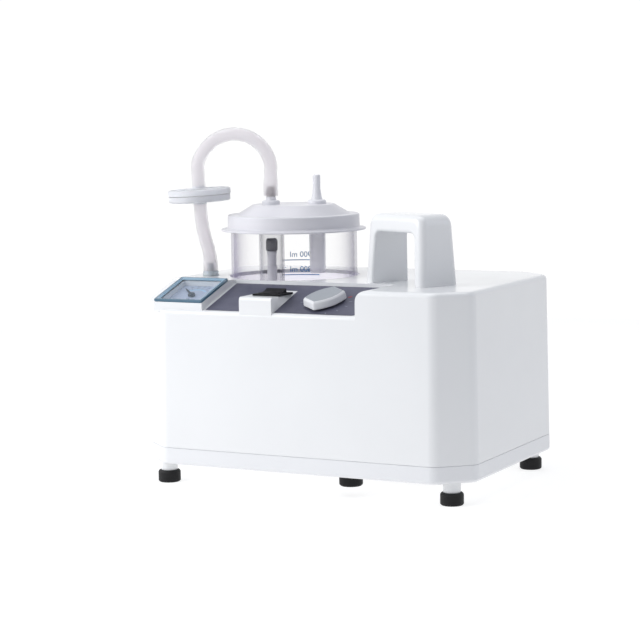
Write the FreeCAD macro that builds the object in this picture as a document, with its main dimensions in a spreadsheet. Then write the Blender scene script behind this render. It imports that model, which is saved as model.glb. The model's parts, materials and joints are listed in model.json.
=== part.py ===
"""Portable suction pump: body housing, collection jar with its lid and filter line, controls and pump works.

Millimetres, +Z up. The origin is on the ground under the middle of the housing; -Y is the front, with the
controls, and +X is the side with the handle.
"""
import FreeCAD, Part
import math
import os
import re

import Sketcher

V = FreeCAD.Vector

DIMENSIONS = {
    # housing
    "body_width": 280, "body_depth": 196, "base_z": 17, "seam_z": 30.5, "top_z": 157.3, "draft": 0.8,
    "corner_x": 25, "corner_y": 22, "wall": 3, "corner_round": 12, "top_round": 4,
    "shoulder_round": 8, "ledge_round": 3.2, "seam_gap": 0.4,
    # sloping control panel in the front of the top
    "panel_front_y": -92, "panel_rear_y": -42, "ledge_z": 138.2, "panel_slope": 17.9, "panel_right_x": 52,
    "panel_skin": 0.8, "panel_skin_left": -77.5,
    # vacuum gauge block at the left of the panel
    "gauge_x": -101.4, "gauge_width": 43, "gauge_front_y": -94, "gauge_front_z": 143.8, "gauge_length": 45,
    "gauge_can_radius": 16.5, "gauge_can_depth": 20, "bezel_rim": 4, "bezel_height": 2, "dial_height": 0.6,
    # power switch block and rocker
    "switch_x": -32, "switch_width": 27.7, "switch_top_z": 149.8, "rocker_x": -28.8, "rocker_y": -73.5,
    "rocker_tilt": 11,
    # vacuum regulator
    "regulator_x": 16.4, "regulator_run": 19.5, "knob_half_length": 15, "knob_half_width": 12, "knob_end_half": 7,
    "knob_height": 6.5, "stem_radius": 3,
    # jar and the well that it stands in
    "jar_x": -55.5, "jar_y": 13, "jar_radius": 50.9, "jar_wall": 2.2, "jar_bottom_z": 48, "jar_rim_z": 201,
    "well_radius": 52.2, "well_wall": 2,
    # lid and its ports; port_turn is the bearing of the line through both ports
    "lid_skirt_radius": 52.9, "flange_radius": 58.2, "flange_z": 193.6, "skirt_top_z": 206.4,
    "cone_radius": 45.8, "crown_radius": 33, "crown_z": 214.2, "port_turn": 27.3, "port_offset": 18,
    "port_ring_radius": 7.2, "port_ring_height": 3.2, "cage_radius": 10.2, "cage_bottom_z": 136,
    "float_radius": 4, "seal_radius": 4.8, "seal_low_z": 176.5, "seal_high_z": 187, "inlet_tube_end_z": 158.5,
    # hose and filter
    "hose_radius": 5.3, "hose_bore": 3.3, "filter_radius": 25.3, "filter_half": 5.2, "filter_tilt": 3,
    "filter_neck": 7.5, "nipple_x": -116.8, "nipple_y": -15.6, "nipple_top_z": 161.5,
    # handle
    "handle_x": 67.5, "handle_y": -30, "handle_turn": -24, "handle_length": 66.5, "handle_depth": 37.5,
    "handle_top_z": 210.6, "grip_thickness": 13.5, "leg_thickness": 9.3,
    # feet
    "foot_inset_x": 18.8, "foot_inset_y": 18.8, "foot_radius": 8.8, "foot_height": 9.5, "leg_radius": 6.8,
    # pump works, on one line of action along Y
    "pump_x": 70, "pump_z": 74, "piston_radius": 16, "piston_gap": 0.05, "stroke": 3,
    "plate_z": 27, "fan_radius": 25.5,
}

doc = FreeCAD.newDocument("SuctionPump")
sheet = doc.addObject("Spreadsheet::Sheet", "Dims")
for row, (alias, number) in enumerate(DIMENSIONS.items(), start=1):
    sheet.set(f"A{row}", str(number))
    sheet.setAlias(f"A{row}", alias)
doc.recompute()

NODES = {}


# ---------------------------------------------------------------- helpers

def bound(text):
    """The expression with every dimension's name led back to the sheet."""
    return re.sub(r"[a-z_]+", lambda m: "Dims." + m[0] if m[0] in DIMENSIONS else m[0], str(text))


def value(text):
    return float(sheet.evalExpression(str(text)))


def bind(thing, prop, text):
    thing.setExpression(prop, bound(text))


def place(thing, at=("0", "0", "0"), axis=None, angle="0"):
    if axis is not None:
        thing.Placement = FreeCAD.Placement(V(), FreeCAD.Rotation(V(*axis), 1))
        bind(thing, "Placement.Rotation.Angle", angle)
    for letter, text in zip("xyz", at):
        bind(thing, "Placement.Base." + letter, text)
    return thing


def on_slope(x, run, lift, front_y="panel_front_y", front_z="ledge_z"):
    """A point on the sloping panel: across it, up along it, and out from it."""
    return (str(x), f"{front_y} + ({run}) * cos(panel_slope) - ({lift}) * sin(panel_slope)",
            f"{front_z} + ({run}) * sin(panel_slope) + ({lift}) * cos(panel_slope)")


def block(name, size, at, axis=None, angle="0"):
    solid = doc.addObject("Part::Box", name)
    for prop, text in zip(("Length", "Width", "Height"), size):
        bind(solid, prop, text)
    return place(solid, at, axis, angle)


def rod(name, radius, height, at, axis=None, angle="0"):
    solid = doc.addObject("Part::Cylinder", name)
    bind(solid, "Radius", radius)
    bind(solid, "Height", height)
    return place(solid, at, axis, angle)


def cut(name, base, *tools):
    tool = tools[0] if len(tools) == 1 else fuse(name + "_tools", *tools)
    result = doc.addObject("Part::Cut", name)
    result.Base = base
    result.Tool = tool
    return result


def fuse(name, *shapes):
    result = doc.addObject("Part::MultiFuse", name)
    result.Shapes = list(shapes)
    result.Refine = True
    return result


def together(name, *shapes):
    """Several separate solids that count as one node."""
    result = doc.addObject("Part::Compound", name)
    result.Links = list(shapes)
    return result


def ring(name, outer, inner, height, at, axis=None, angle="0"):
    return cut(name, rod(name + "_outside", outer, height, at, axis, angle),
               rod(name + "_bore", inner, height, at, axis, angle))


def sketch_on(body, role, outline, name):
    """A closed outline of straight edges, each corner held by two dimensions from the sheet."""
    sketch = body.newObject("Sketcher::SketchObject", name)
    plane = [feature for feature in body.Origin.OriginFeatures if feature.Role == role][0]
    sketch.AttachmentSupport = [(plane, "")]
    sketch.MapMode = "FlatFace"
    corners = [(value(a), value(b)) for a, b in outline]
    count = len(corners)
    for i, corner in enumerate(corners):
        following = corners[(i + 1) % count]
        sketch.addGeometry(Part.LineSegment(V(*corner, 0), V(*following, 0)))
    for i in range(count):
        sketch.addConstraint(Sketcher.Constraint("Coincident", i, 2, (i + 1) % count, 1))
    for i, (across, up) in enumerate(outline):
        for kind, text, number in (("DistanceX", across, corners[i][0]), ("DistanceY", up, corners[i][1])):
            index = sketch.addConstraint(Sketcher.Constraint(kind, -1, 1, i, 1, number))
            label = f"{kind}{i}"
            sketch.renameConstraint(index, label)
            bind(sketch, "Constraints." + label, text)
    return sketch


def turned(name, outline, at=("0", "0", "0"), axis=None, angle="0"):
    """A body turned about its own Z axis from an outline of radius and height."""
    body = doc.addObject("PartDesign::Body", name)
    sketch = sketch_on(body, "XZ_Plane", outline, name + "_profile")
    turn = body.newObject("PartDesign::Revolution", name + "_turn")
    turn.Profile = sketch
    turn.ReferenceAxis = (sketch, ["V_Axis"])
    turn.Angle = 360
    return place(body, at, axis, angle)


def padded(name, outline, height, at=("0", "0", "0"), taper=None, role="XY_Plane", axis=None, angle="0"):
    """A body padded from an outline, in Z from XY_Plane or in X from YZ_Plane."""
    body = doc.addObject("PartDesign::Body", name)
    pad = body.newObject("PartDesign::Pad", name + "_pad")
    pad.Profile = sketch_on(body, role, outline, name + "_outline")
    bind(pad, "Length", height)
    if taper is not None:
        bind(pad, "TaperAngle", taper)
    return place(body, at, axis, angle)


def round_edges(body, wanted, radius, kind="Fillet"):
    """Rounds, or chamfers, the edges of a body's tip that wanted(edge) picks out."""
    doc.recompute()
    tip = body.Tip
    names = [f"Edge{i}" for i, edge in enumerate(tip.Shape.Edges, start=1) if wanted(edge)]
    if not names:
        raise ValueError("no edges to round on " + body.Name)
    feature = body.newObject("PartDesign::" + kind, f"{body.Name}_{kind.lower()}")
    feature.Base = (tip, names)
    bind(feature, "Radius" if kind == "Fillet" else "Size", radius)
    body.Tip = feature
    return feature


def middle(edge):
    return edge.valueAt((edge.FirstParameter + edge.LastParameter) / 2)


def runs_along(edge, axis, slack=0.05):
    if edge.Curve.TypeId != "Part::GeomLine":
        return False
    return edge.Curve.Direction.cross(V(*axis)).Length < slack


def node(label, thing):
    thing.Label = label
    NODES[label] = thing
    return thing


def on_lid(offset):
    """The place of a port, along the line through both ports."""
    return f"jar_x + ({offset}) * cos(port_turn)", f"jar_y + ({offset}) * sin(port_turn)"


# ---------------------------------------------------------------- housing

def octagon(inset):
    """The housing's outline with its four bevelled corners, drawn in by inset."""
    half_x, half_y = f"(body_width / 2 - ({inset}))", f"(body_depth / 2 - ({inset}))"
    flat_x = f"(body_width / 2 - corner_x - ({inset}) * 0.41)"
    flat_y = f"(body_depth / 2 - corner_y - ({inset}) * 0.41)"
    corners = []
    for sign_x, sign_y in ((1, -1), (1, 1), (-1, 1), (-1, -1)):
        first = (f"{sign_x} * {flat_x}", f"{sign_y} * {half_y}")
        second = (f"{sign_x} * {half_x}", f"{sign_y} * {flat_y}")
        corners += [first, second] if sign_x * sign_y < 0 else [second, first]
    return corners


DRAWN_IN = "(seam_z - base_z) * tan(draft)"


def base_tray():
    body = padded("base_tray_shell", octagon("0"), "seam_z - base_z - seam_gap", ("0", "0", "base_z"), "-draft")
    round_edges(body, lambda edge: abs(middle(edge).z - value("base_z")) > 1 and edge.Length < 20, "corner_round")
    round_edges(body, lambda edge: abs(middle(edge).z) < 0.01, "3")
    hollow = padded("base_tray_hollow", octagon("wall"), "seam_z", ("0", "0", "base_z + wall"), "-draft")
    tools = [hollow]
    for side, (x, y) in enumerate(foot_places()):
        tools.append(rod(f"foot_screw_hole{side}", "2.1", "20", (x, y, "base_z - 5")))
    for side, (x, y) in enumerate(CLOSING_SCREWS):
        tools.append(rod(f"closing_hole{side}", "2.1", "20", (x, y, "base_z - 5")))
    for slot in range(7):
        tools.append(block(f"floor_vent{slot}", ("3", "46", "10"), (str(34 + 9 * slot), "-20", "base_z - 2")))
    tools.append(rod("bumper_hole", "3.05", "10", ("38", "-78", "base_z - 2")))
    hollow_tray = cut("tray_walls", body, *tools)
    posts = [block(f"board_post{i}", ("5", "1.8", "34"), (x, "-64.4", "base_z + wall - 1")) for i, x in
             enumerate(("-110", "-43"))]
    node("base_tray", fuse("base_tray", hollow_tray, *posts))


def foot_places():
    x, y = "(body_width / 2 - foot_inset_x)", "(body_depth / 2 - foot_inset_y)"
    return [("-" + x, "-" + y), (x, "-" + y), (x, y), ("-" + x, y)]


CLOSING_SCREWS = [("-127", "-52"), ("127", "-52"), ("127", "52"), ("-127", "52")]


def panel_wedge(name, drop, right_x, rear_shift):
    """The space above the sloping panel, lowered by drop and widened, open to the front and the left."""
    outline = [
        ("-130", f"ledge_z - {drop}"),
        ("panel_front_y", f"ledge_z - {drop}"),
        (f"panel_rear_y + {rear_shift}",
         f"ledge_z - {drop} + (panel_rear_y + {rear_shift} - panel_front_y) * tan(panel_slope)"),
        (f"panel_rear_y + {rear_shift}", "top_z + 20"),
        ("-130", "top_z + 20"),
    ]
    return padded(name, outline, f"{right_x} + 160", ("-160", "0", "0"), role="YZ_Plane")


def cover_outside():
    """The cover's outer form, with the control recess cut out of its front left."""
    body = padded("cover_form", octagon(DRAWN_IN), "top_z - seam_z", ("0", "0", "seam_z"), "-draft")
    round_edges(body, lambda edge: 1 < middle(edge).z < value("top_z - seam_z") - 1, "corner_round")
    round_edges(body, lambda edge: middle(edge).z > value("top_z - seam_z") - 0.01, "top_round")
    wall_y, wall_length = "-120", "panel_rear_y + 120"
    wall_round = cut("wall_round",
                     block("wall_round_corner", ("shoulder_round + 1", wall_length, "shoulder_round + 5"),
                           ("panel_right_x - 1", wall_y, "top_z - shoulder_round")),
                     rod("wall_round_rod", "shoulder_round", "200",
                         ("panel_right_x + shoulder_round", "-130", "top_z - shoulder_round"), (1, 0, 0), "-90"))
    front_y = "ledge_round - body_depth / 2 + (ledge_z - ledge_round - base_z) * tan(draft)"
    ledge_round = cut("ledge_round",
                      block("ledge_round_corner", ("panel_right_x + 160", "10 + ledge_round", "ledge_round + 0.5"),
                            ("-160", f"{front_y} - ledge_round - 10", "ledge_z - ledge_round")),
                      rod("ledge_round_rod", "ledge_round", "400", ("-200", front_y, "ledge_z - ledge_round"),
                          (0, 1, 0), "90"))
    return cut("cover_recessed", body, panel_wedge("panel_space", "0", "panel_right_x", "0"), wall_round,
               ledge_round)


def cover_hollow():
    inner = padded("cover_hollow_form", octagon(DRAWN_IN + " + wall"), "top_z - seam_z - wall + 5",
                   ("0", "0", "seam_z - 5"), "-draft")
    wedge = panel_wedge("panel_backing", "wall", "panel_right_x + wall", "wall")
    return cut("cover_hollow", inner, wedge)


def gauge_block():
    """A wedge on the panel that carries the gauge, level with the top of the housing behind."""
    outline = [
        ("gauge_front_y", "ledge_z - 2"),
        ("gauge_front_y", "gauge_front_z"),
        ("gauge_front_y + gauge_length * cos(panel_slope)", "gauge_front_z + gauge_length * sin(panel_slope)"),
        ("panel_rear_y + 1", "top_z"),
        ("panel_rear_y + 1", "ledge_z - 2 + (panel_rear_y + 1 - gauge_front_y) * tan(panel_slope)"),
    ]
    return padded("gauge_block", outline, "gauge_width", ("gauge_x - gauge_width / 2", "0", "0"), role="YZ_Plane")


def switch_block():
    outline = [
        ("-96.15", "ledge_z - 6"),
        ("-96.15", "switch_top_z"),
        ("-54", "switch_top_z"),
        ("-54", "switch_top_z - 2.5"),
        ("-90", "ledge_z - 2"),
        ("-90", "ledge_z - 6"),
    ]
    body = padded("switch_block", outline, "switch_width", ("switch_x - switch_width / 2", "0", "0"),
                  role="YZ_Plane")
    top = value("switch_top_z")
    round_edges(body, lambda edge: middle(edge).z > top - 0.1 and middle(edge).y < -96, "2.5")
    return body


def upper_cover():
    shell = cut("cover_walls", cover_outside(), cover_hollow())
    solids = [shell, gauge_block(), switch_block(), block("inlet_frame", ("40", "6", "52"), ("-95", "90.5", "34"))]
    for side, (x, y) in enumerate(CLOSING_SCREWS):
        solids.append(rod(f"closing_post{side}", "4.5", "top_z - 30 - seam_z", (x, y, "seam_z - 10.5")))
        rib_x = x if float(x) > 0 else f"{x} - 11"
        solids.append(block(f"closing_rib{side}", ("11", "2.5", "top_z - 36 - seam_z"),
                            (rib_x, f"{y} - 1.25", "seam_z + 2")))
    tools = [
        rod("well_hole", "well_radius + 0.2", "20", ("jar_x", "jar_y", "top_z - 10")),
        rod("nipple_hole", "3.6", "20", ("nipple_x", "nipple_y", "top_z - 12")),
        block("gauge_hole", ("34", "36", "40"), on_slope("gauge_x - 17", "4.5", "-20", "gauge_front_y",
                                                       "gauge_front_z"), (1, 0, 0), "panel_slope"),
        block("rocker_hole", ("20.4", "18.4", "30"), ("rocker_x - 10.2", "rocker_y - 9.2", "switch_top_z - 15")),
        rod("stem_hole", "4", "20", on_slope("regulator_x", "regulator_run", "-10"), (1, 0, 0), "panel_slope"),
        block("inlet_pocket", ("34.4", "12", "46.4"), ("-92.2", "93.5", "36.8")),
        block("inlet_hole", ("28.4", "16", "40.4"), ("-89.2", "88", "39.8")),
    ]
    for slot in range(8):
        tools.append(block(f"rear_vent{slot}", ("52", "12", "3"), ("pump_x - 26", "90", str(50 + 7 * slot))))
    for side, (x, y) in enumerate(CLOSING_SCREWS):
        tools.append(rod(f"post_bore{side}", "1.6", "18", (x, y, "seam_z - 12")))
    for side, reach in enumerate(("-1", "1")):
        x, y = handle_leg(reach)
        tools.append(rod(f"handle_screw_hole{side}", "2.1", "12", (x, y, "top_z - 8")))
    node("upper_cover", cut("upper_cover", fuse("cover_solids", *solids), *tools))


def handle_leg(side):
    reach = f"{side} * (handle_length - leg_thickness) / 2"
    return f"handle_x + {reach} * cos(handle_turn)", f"handle_y + {reach} * sin(handle_turn)"


def carry_handle():
    outline = [("-handle_length / 2", "-handle_depth / 2"), ("handle_length / 2", "-handle_depth / 2"),
               ("handle_length / 2", "handle_depth / 2"), ("-handle_length / 2", "handle_depth / 2")]
    place_args = (("handle_x", "handle_y", "top_z"), (0, 0, 1), "handle_turn")
    grip = padded("handle_grip", outline, "handle_top_z - top_z", place_args[0], "-3", "XY_Plane", *place_args[1:])
    top = value("handle_top_z - top_z")
    round_edges(grip, lambda edge: 1 < middle(edge).z < top - 1, "6")
    round_edges(grip, lambda edge: middle(edge).z > top - 0.01, "5.5")
    inner = "(handle_length / 2 - leg_thickness)"
    opening = [("-" + inner, "-30"), (inner, "-30"), (inner, "30"), ("-" + inner, "30")]
    gap = padded("handle_gap", opening, "handle_top_z - top_z - grip_thickness + 10",
                 (place_args[0][0], place_args[0][1], "top_z - 10"), "-3", "XY_Plane", *place_args[1:])
    height = value("handle_top_z - top_z - grip_thickness + 10")
    round_edges(gap, lambda edge: middle(edge).z > height - 0.1 and runs_along(edge, (0, 1, 0)), "4")
    tools = [gap]
    for side, reach in enumerate(("-1", "1")):
        x, y = handle_leg(reach)
        tools.append(rod(f"handle_bore{side}", "1.6", "16", (x, y, "top_z - 1")))
    node("carry_handle", cut("carry_handle", grip, *tools))


def screws(label, places, length):
    """Pan-head screws, driven upwards: each a head and a shank in one solid."""
    solids = []
    for i, (x, y, head_z) in enumerate(places):
        head = rod(f"{label}_head{i}", "3.3", "2", (x, y, head_z))
        shank = rod(f"{label}_shank{i}", "1.55", length, (x, y, f"{head_z} + 2"))
        solids.append(fuse(f"{label}{i}", head, shank))
    node(label, together(label, *solids))


def feet():
    legs, pads = [], []
    for i, (x, y) in enumerate(foot_places()):
        leg = rod(f"leg{i}", "leg_radius", "base_z - foot_height", (x, y, "foot_height"))
        legs.append(cut(f"leg_piece{i}", leg, rod(f"leg_bore{i}", "2.1", "20", (x, y, "0"))))
        pad = turned(f"pad{i}", [("3.4", "0"), ("foot_radius - 1.2", "0"), ("foot_radius", "1.2"),
                                 ("foot_radius", "foot_height - 0.8"), ("foot_radius - 0.8", "foot_height"),
                                 ("2.1", "foot_height"), ("2.1", "5"), ("3.4", "5")], (x, y, "0"))
        pads.append(pad)
    node("foot_legs", together("foot_legs", *legs))
    node("rubber_feet", together("rubber_feet", *pads))
    screws("foot_screws", [(x, y, "3") for x, y in foot_places()], "20")
    case_places = [(x, y, "base_z - 2") for x, y in CLOSING_SCREWS]
    case_places += [(*handle_leg(side), "top_z - wall - 2") for side in ("-1", "1")]
    screws("case_screws", case_places, "14")
    stop = turned("base_bumper", [("0", "8"), ("8", "8"), ("9", "9.5"), ("9", "base_z"), ("3", "base_z"),
                                  ("3", "base_z + wall"), ("4.2", "base_z + wall + 0.6"),
                                  ("2", "base_z + wall + 3"), ("0", "base_z + wall + 3")], ("38", "-78", "0"))
    node("base_bumper", stop)


# ---------------------------------------------------------------- controls

def control_panel_skin():
    length = "(panel_rear_y - panel_front_y) / cos(panel_slope)"
    skin = block("panel_skin_sheet", ("panel_right_x - panel_skin_left - 0.4", length + " - 0.6", "panel_skin"),
                 on_slope("panel_skin_left", "0.3", "0"), (1, 0, 0), "panel_slope")
    switch_gap = block("panel_switch_gap", ("switch_width + 0.6", "60", "40"),
                       ("switch_x - switch_width / 2 - 0.3", "-112", "ledge_z - 10"))
    stem_gap = rod("panel_stem_gap", "4.2", "10", on_slope("regulator_x", "regulator_run", "-5"), (1, 0, 0),
                   "panel_slope")
    node("control_panel_skin", cut("control_panel_skin", skin, switch_gap, stem_gap))


def gauge_spot(x, run, lift):
    return on_slope(f"gauge_x + {x}", run, lift, "gauge_front_y", "gauge_front_z")


def vacuum_gauge():
    tilt = ((1, 0, 0), "panel_slope")
    frame = block("bezel_outside", ("gauge_width", "gauge_length", "bezel_height"),
                  gauge_spot("-gauge_width / 2", "0", "0"), *tilt)
    window = block("bezel_window", ("gauge_width - 2 * bezel_rim", "gauge_length - 2 * bezel_rim", "10"),
                   gauge_spot("bezel_rim - gauge_width / 2", "bezel_rim", "-5"), *tilt)
    seat = block("bezel_seat", ("gauge_width - 2 * bezel_rim + 2", "gauge_length - 2 * bezel_rim + 2", "2"),
                 gauge_spot("bezel_rim - 1 - gauge_width / 2", "bezel_rim - 1", "-1"), *tilt)
    node("gauge_bezel", cut("gauge_bezel", frame, window, seat))
    lens = block("gauge_lens", ("gauge_width - 2 * bezel_rim + 1.8", "gauge_length - 2 * bezel_rim + 1.8", "1"),
                 gauge_spot("bezel_rim - 0.9 - gauge_width / 2", "bezel_rim - 0.9", "0"), *tilt)
    node("gauge_lens", lens)
    middle_run = "gauge_length / 2"
    dial = block("dial_plate", ("33.6", "35.6", "0.8"), gauge_spot("-16.8", f"{middle_run} - 17.8", "-4.6"), *tilt)
    node("gauge_dial", cut("gauge_dial", dial, rod("dial_hole", "1.2", "4",
                                                 gauge_spot("0", f"{middle_run} - 1", "-6"), *tilt)))
    # the needle stands at zero, pointing up and to the left of the dial
    pivot = gauge_spot("0", f"{middle_run} - 1", "-3.2")
    arm = block("needle_arm", ("18", "1.4", "0.5"), ("-3", "-0.7", "0"))
    hub = rod("needle_hub", "2.4", "1.6", ("0", "0", "-0.4"))
    spindle = rod("needle_spindle", "0.8", "9", ("0", "0", "-9"))
    needle = fuse("needle_pieces", arm, hub, spindle)
    doc.recompute()
    pointer = doc.addObject("Part::Feature", "gauge_needle")
    shape = needle.Shape.copy()
    shape.rotate(V(), V(0, 0, 1), 135)
    shape.rotate(V(), V(1, 0, 0), value("panel_slope"))
    pointer.Shape = shape
    pointer.Placement.Base = V(*[value(text) for text in pivot])
    node("gauge_needle", pointer)
    can = rod("can_outside", "gauge_can_radius", "gauge_can_depth", gauge_spot("0", middle_run,
                                                                             "-4.8 - gauge_can_depth"), *tilt)
    room = rod("can_room", "gauge_can_radius - 1", "gauge_can_depth - 2",
               gauge_spot("0", middle_run, "-3.8 - gauge_can_depth + 1"), *tilt)
    stub = rod("can_stub", "2.5", "8", gauge_spot("0", middle_run, "-12.8 - gauge_can_depth"), *tilt)
    stub_bore = rod("can_stub_bore", "1.2", "12", gauge_spot("0", middle_run, "-13.8 - gauge_can_depth"), *tilt)
    node("gauge_can", cut("gauge_can", fuse("can_solid", can, stub), room, stub_bore))
    tube = doc.addObject("Part::Torus", "tube_ring")
    for prop, text in (("Radius1", "gauge_can_radius - 4.5"), ("Radius2", "1.8")):
        bind(tube, prop, text)
    tube.Angle3 = 250
    place(tube, gauge_spot("0", middle_run, "-9 - gauge_can_depth / 2"), *tilt)
    node("bourdon_tube", tube)


def power_switch():
    flange = block("switch_flange", ("23.6", "21.6", "1.5"), ("rocker_x - 11.8", "rocker_y - 10.8",
                                                            "switch_top_z"))
    shell = block("switch_shell", ("20", "18", "16"), ("rocker_x - 10", "rocker_y - 9", "switch_top_z - 15"))
    room = block("switch_room", ("17.2", "15.6", "20"), ("rocker_x - 8.6", "rocker_y - 7.8", "switch_top_z - 10"))
    pin_hole = rod("switch_pin_hole", "1.5", "19.8", ("rocker_x - 9.9", "rocker_y", "switch_top_z - 0.8"),
                   (0, 1, 0), "90")
    tabs = [block(f"switch_tab{i}", ("0.8", "5", "8"), (f"rocker_x + {x}", f"rocker_y + {y}",
                                                      "switch_top_z - 23"))
            for i, (x, y) in enumerate(((-6, -7), (-6, 2), (5.2, -7), (5.2, 2)))]
    node("switch_housing", cut("switch_housing", fuse("switch_solids", flange, shell, *tabs), room, pin_hole))
    outline = [("-7.2", "-2.4"), ("-7.2", "2"), ("-6.9", "3.4"), ("-3", "2.4"), ("0", "2.2"), ("3", "2.4"),
               ("6.9", "3.4"), ("7.2", "2"), ("7.2", "-2.4"), ("2.5", "-4.2"), ("-2.5", "-4.2")]
    key = padded("rocker_key", outline, "16.8", ("rocker_x - 8.4", "rocker_y", "switch_top_z"), role="YZ_Plane",
                 axis=(1, 0, 0), angle="rocker_tilt")
    trunnions = rod("rocker_trunnions", "1.45", "19.6", ("rocker_x - 9.8", "rocker_y", "switch_top_z - 0.8"),
                    (0, 1, 0), "90")
    node("switch_rocker", fuse("switch_rocker", key, trunnions))


def regulator():
    tilt = ((1, 0, 0), "panel_slope")
    one_side = [("-knob_half_length", "-knob_end_half"), ("-0.55 * knob_half_length", "-0.9 * knob_half_width"),
                ("0", "-knob_half_width"), ("0.55 * knob_half_length", "-0.9 * knob_half_width"),
                ("knob_half_length", "-knob_end_half")]
    other_side = [(x, y.replace("-", "")) for x, y in reversed(one_side)]
    grip = padded("knob_grip", one_side + other_side, "knob_height", taper="-5", axis=(0, 0, 1), angle="58")
    bore = rod("knob_bore", "stem_radius", "4", ("0", "0", "0"))
    solid = cut("knob_solid", grip, bore)
    doc.recompute()
    knob = doc.addObject("Part::Feature", "regulator_knob")
    shape = solid.Shape.copy()
    shape.rotate(V(), V(1, 0, 0), value("panel_slope"))
    knob.Shape = shape
    knob.Placement.Base = V(*[value(text) for text in on_slope("regulator_x", "regulator_run", "1.4")])
    node("regulator_knob", knob)
    spot = lambda lift: on_slope("regulator_x", "regulator_run", lift)
    stem = rod("stem_rod", "stem_radius", "19.4", spot("-14"), *tilt)
    tip = doc.addObject("Part::Cone", "stem_tip")
    for prop, text in (("Radius1", "0.6"), ("Radius2", "stem_radius - 0.5"), ("Height", "6")):
        bind(tip, prop, text)
    place(tip, spot("-20"), *tilt)
    node("regulator_stem", fuse("regulator_stem", stem, tip))
    body = rod("valve_body_outside", "9", "23", spot("-26"), *tilt)
    stem_way = rod("valve_stem_way", "stem_radius + 0.05", "40", spot("-21"), *tilt)
    bonnet = rod("valve_bonnet", "12", "3", spot("-6"), *tilt)
    port = rod("valve_port", "2.5", "10", spot("-34"), *tilt)
    port_bore = rod("valve_port_bore", "1.2", "16", spot("-36"), *tilt)
    node("regulator_valve", cut("regulator_valve", fuse("valve_solids", body, bonnet, port), stem_way, port_bore))


# ---------------------------------------------------------------- jar, lid and float

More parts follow.
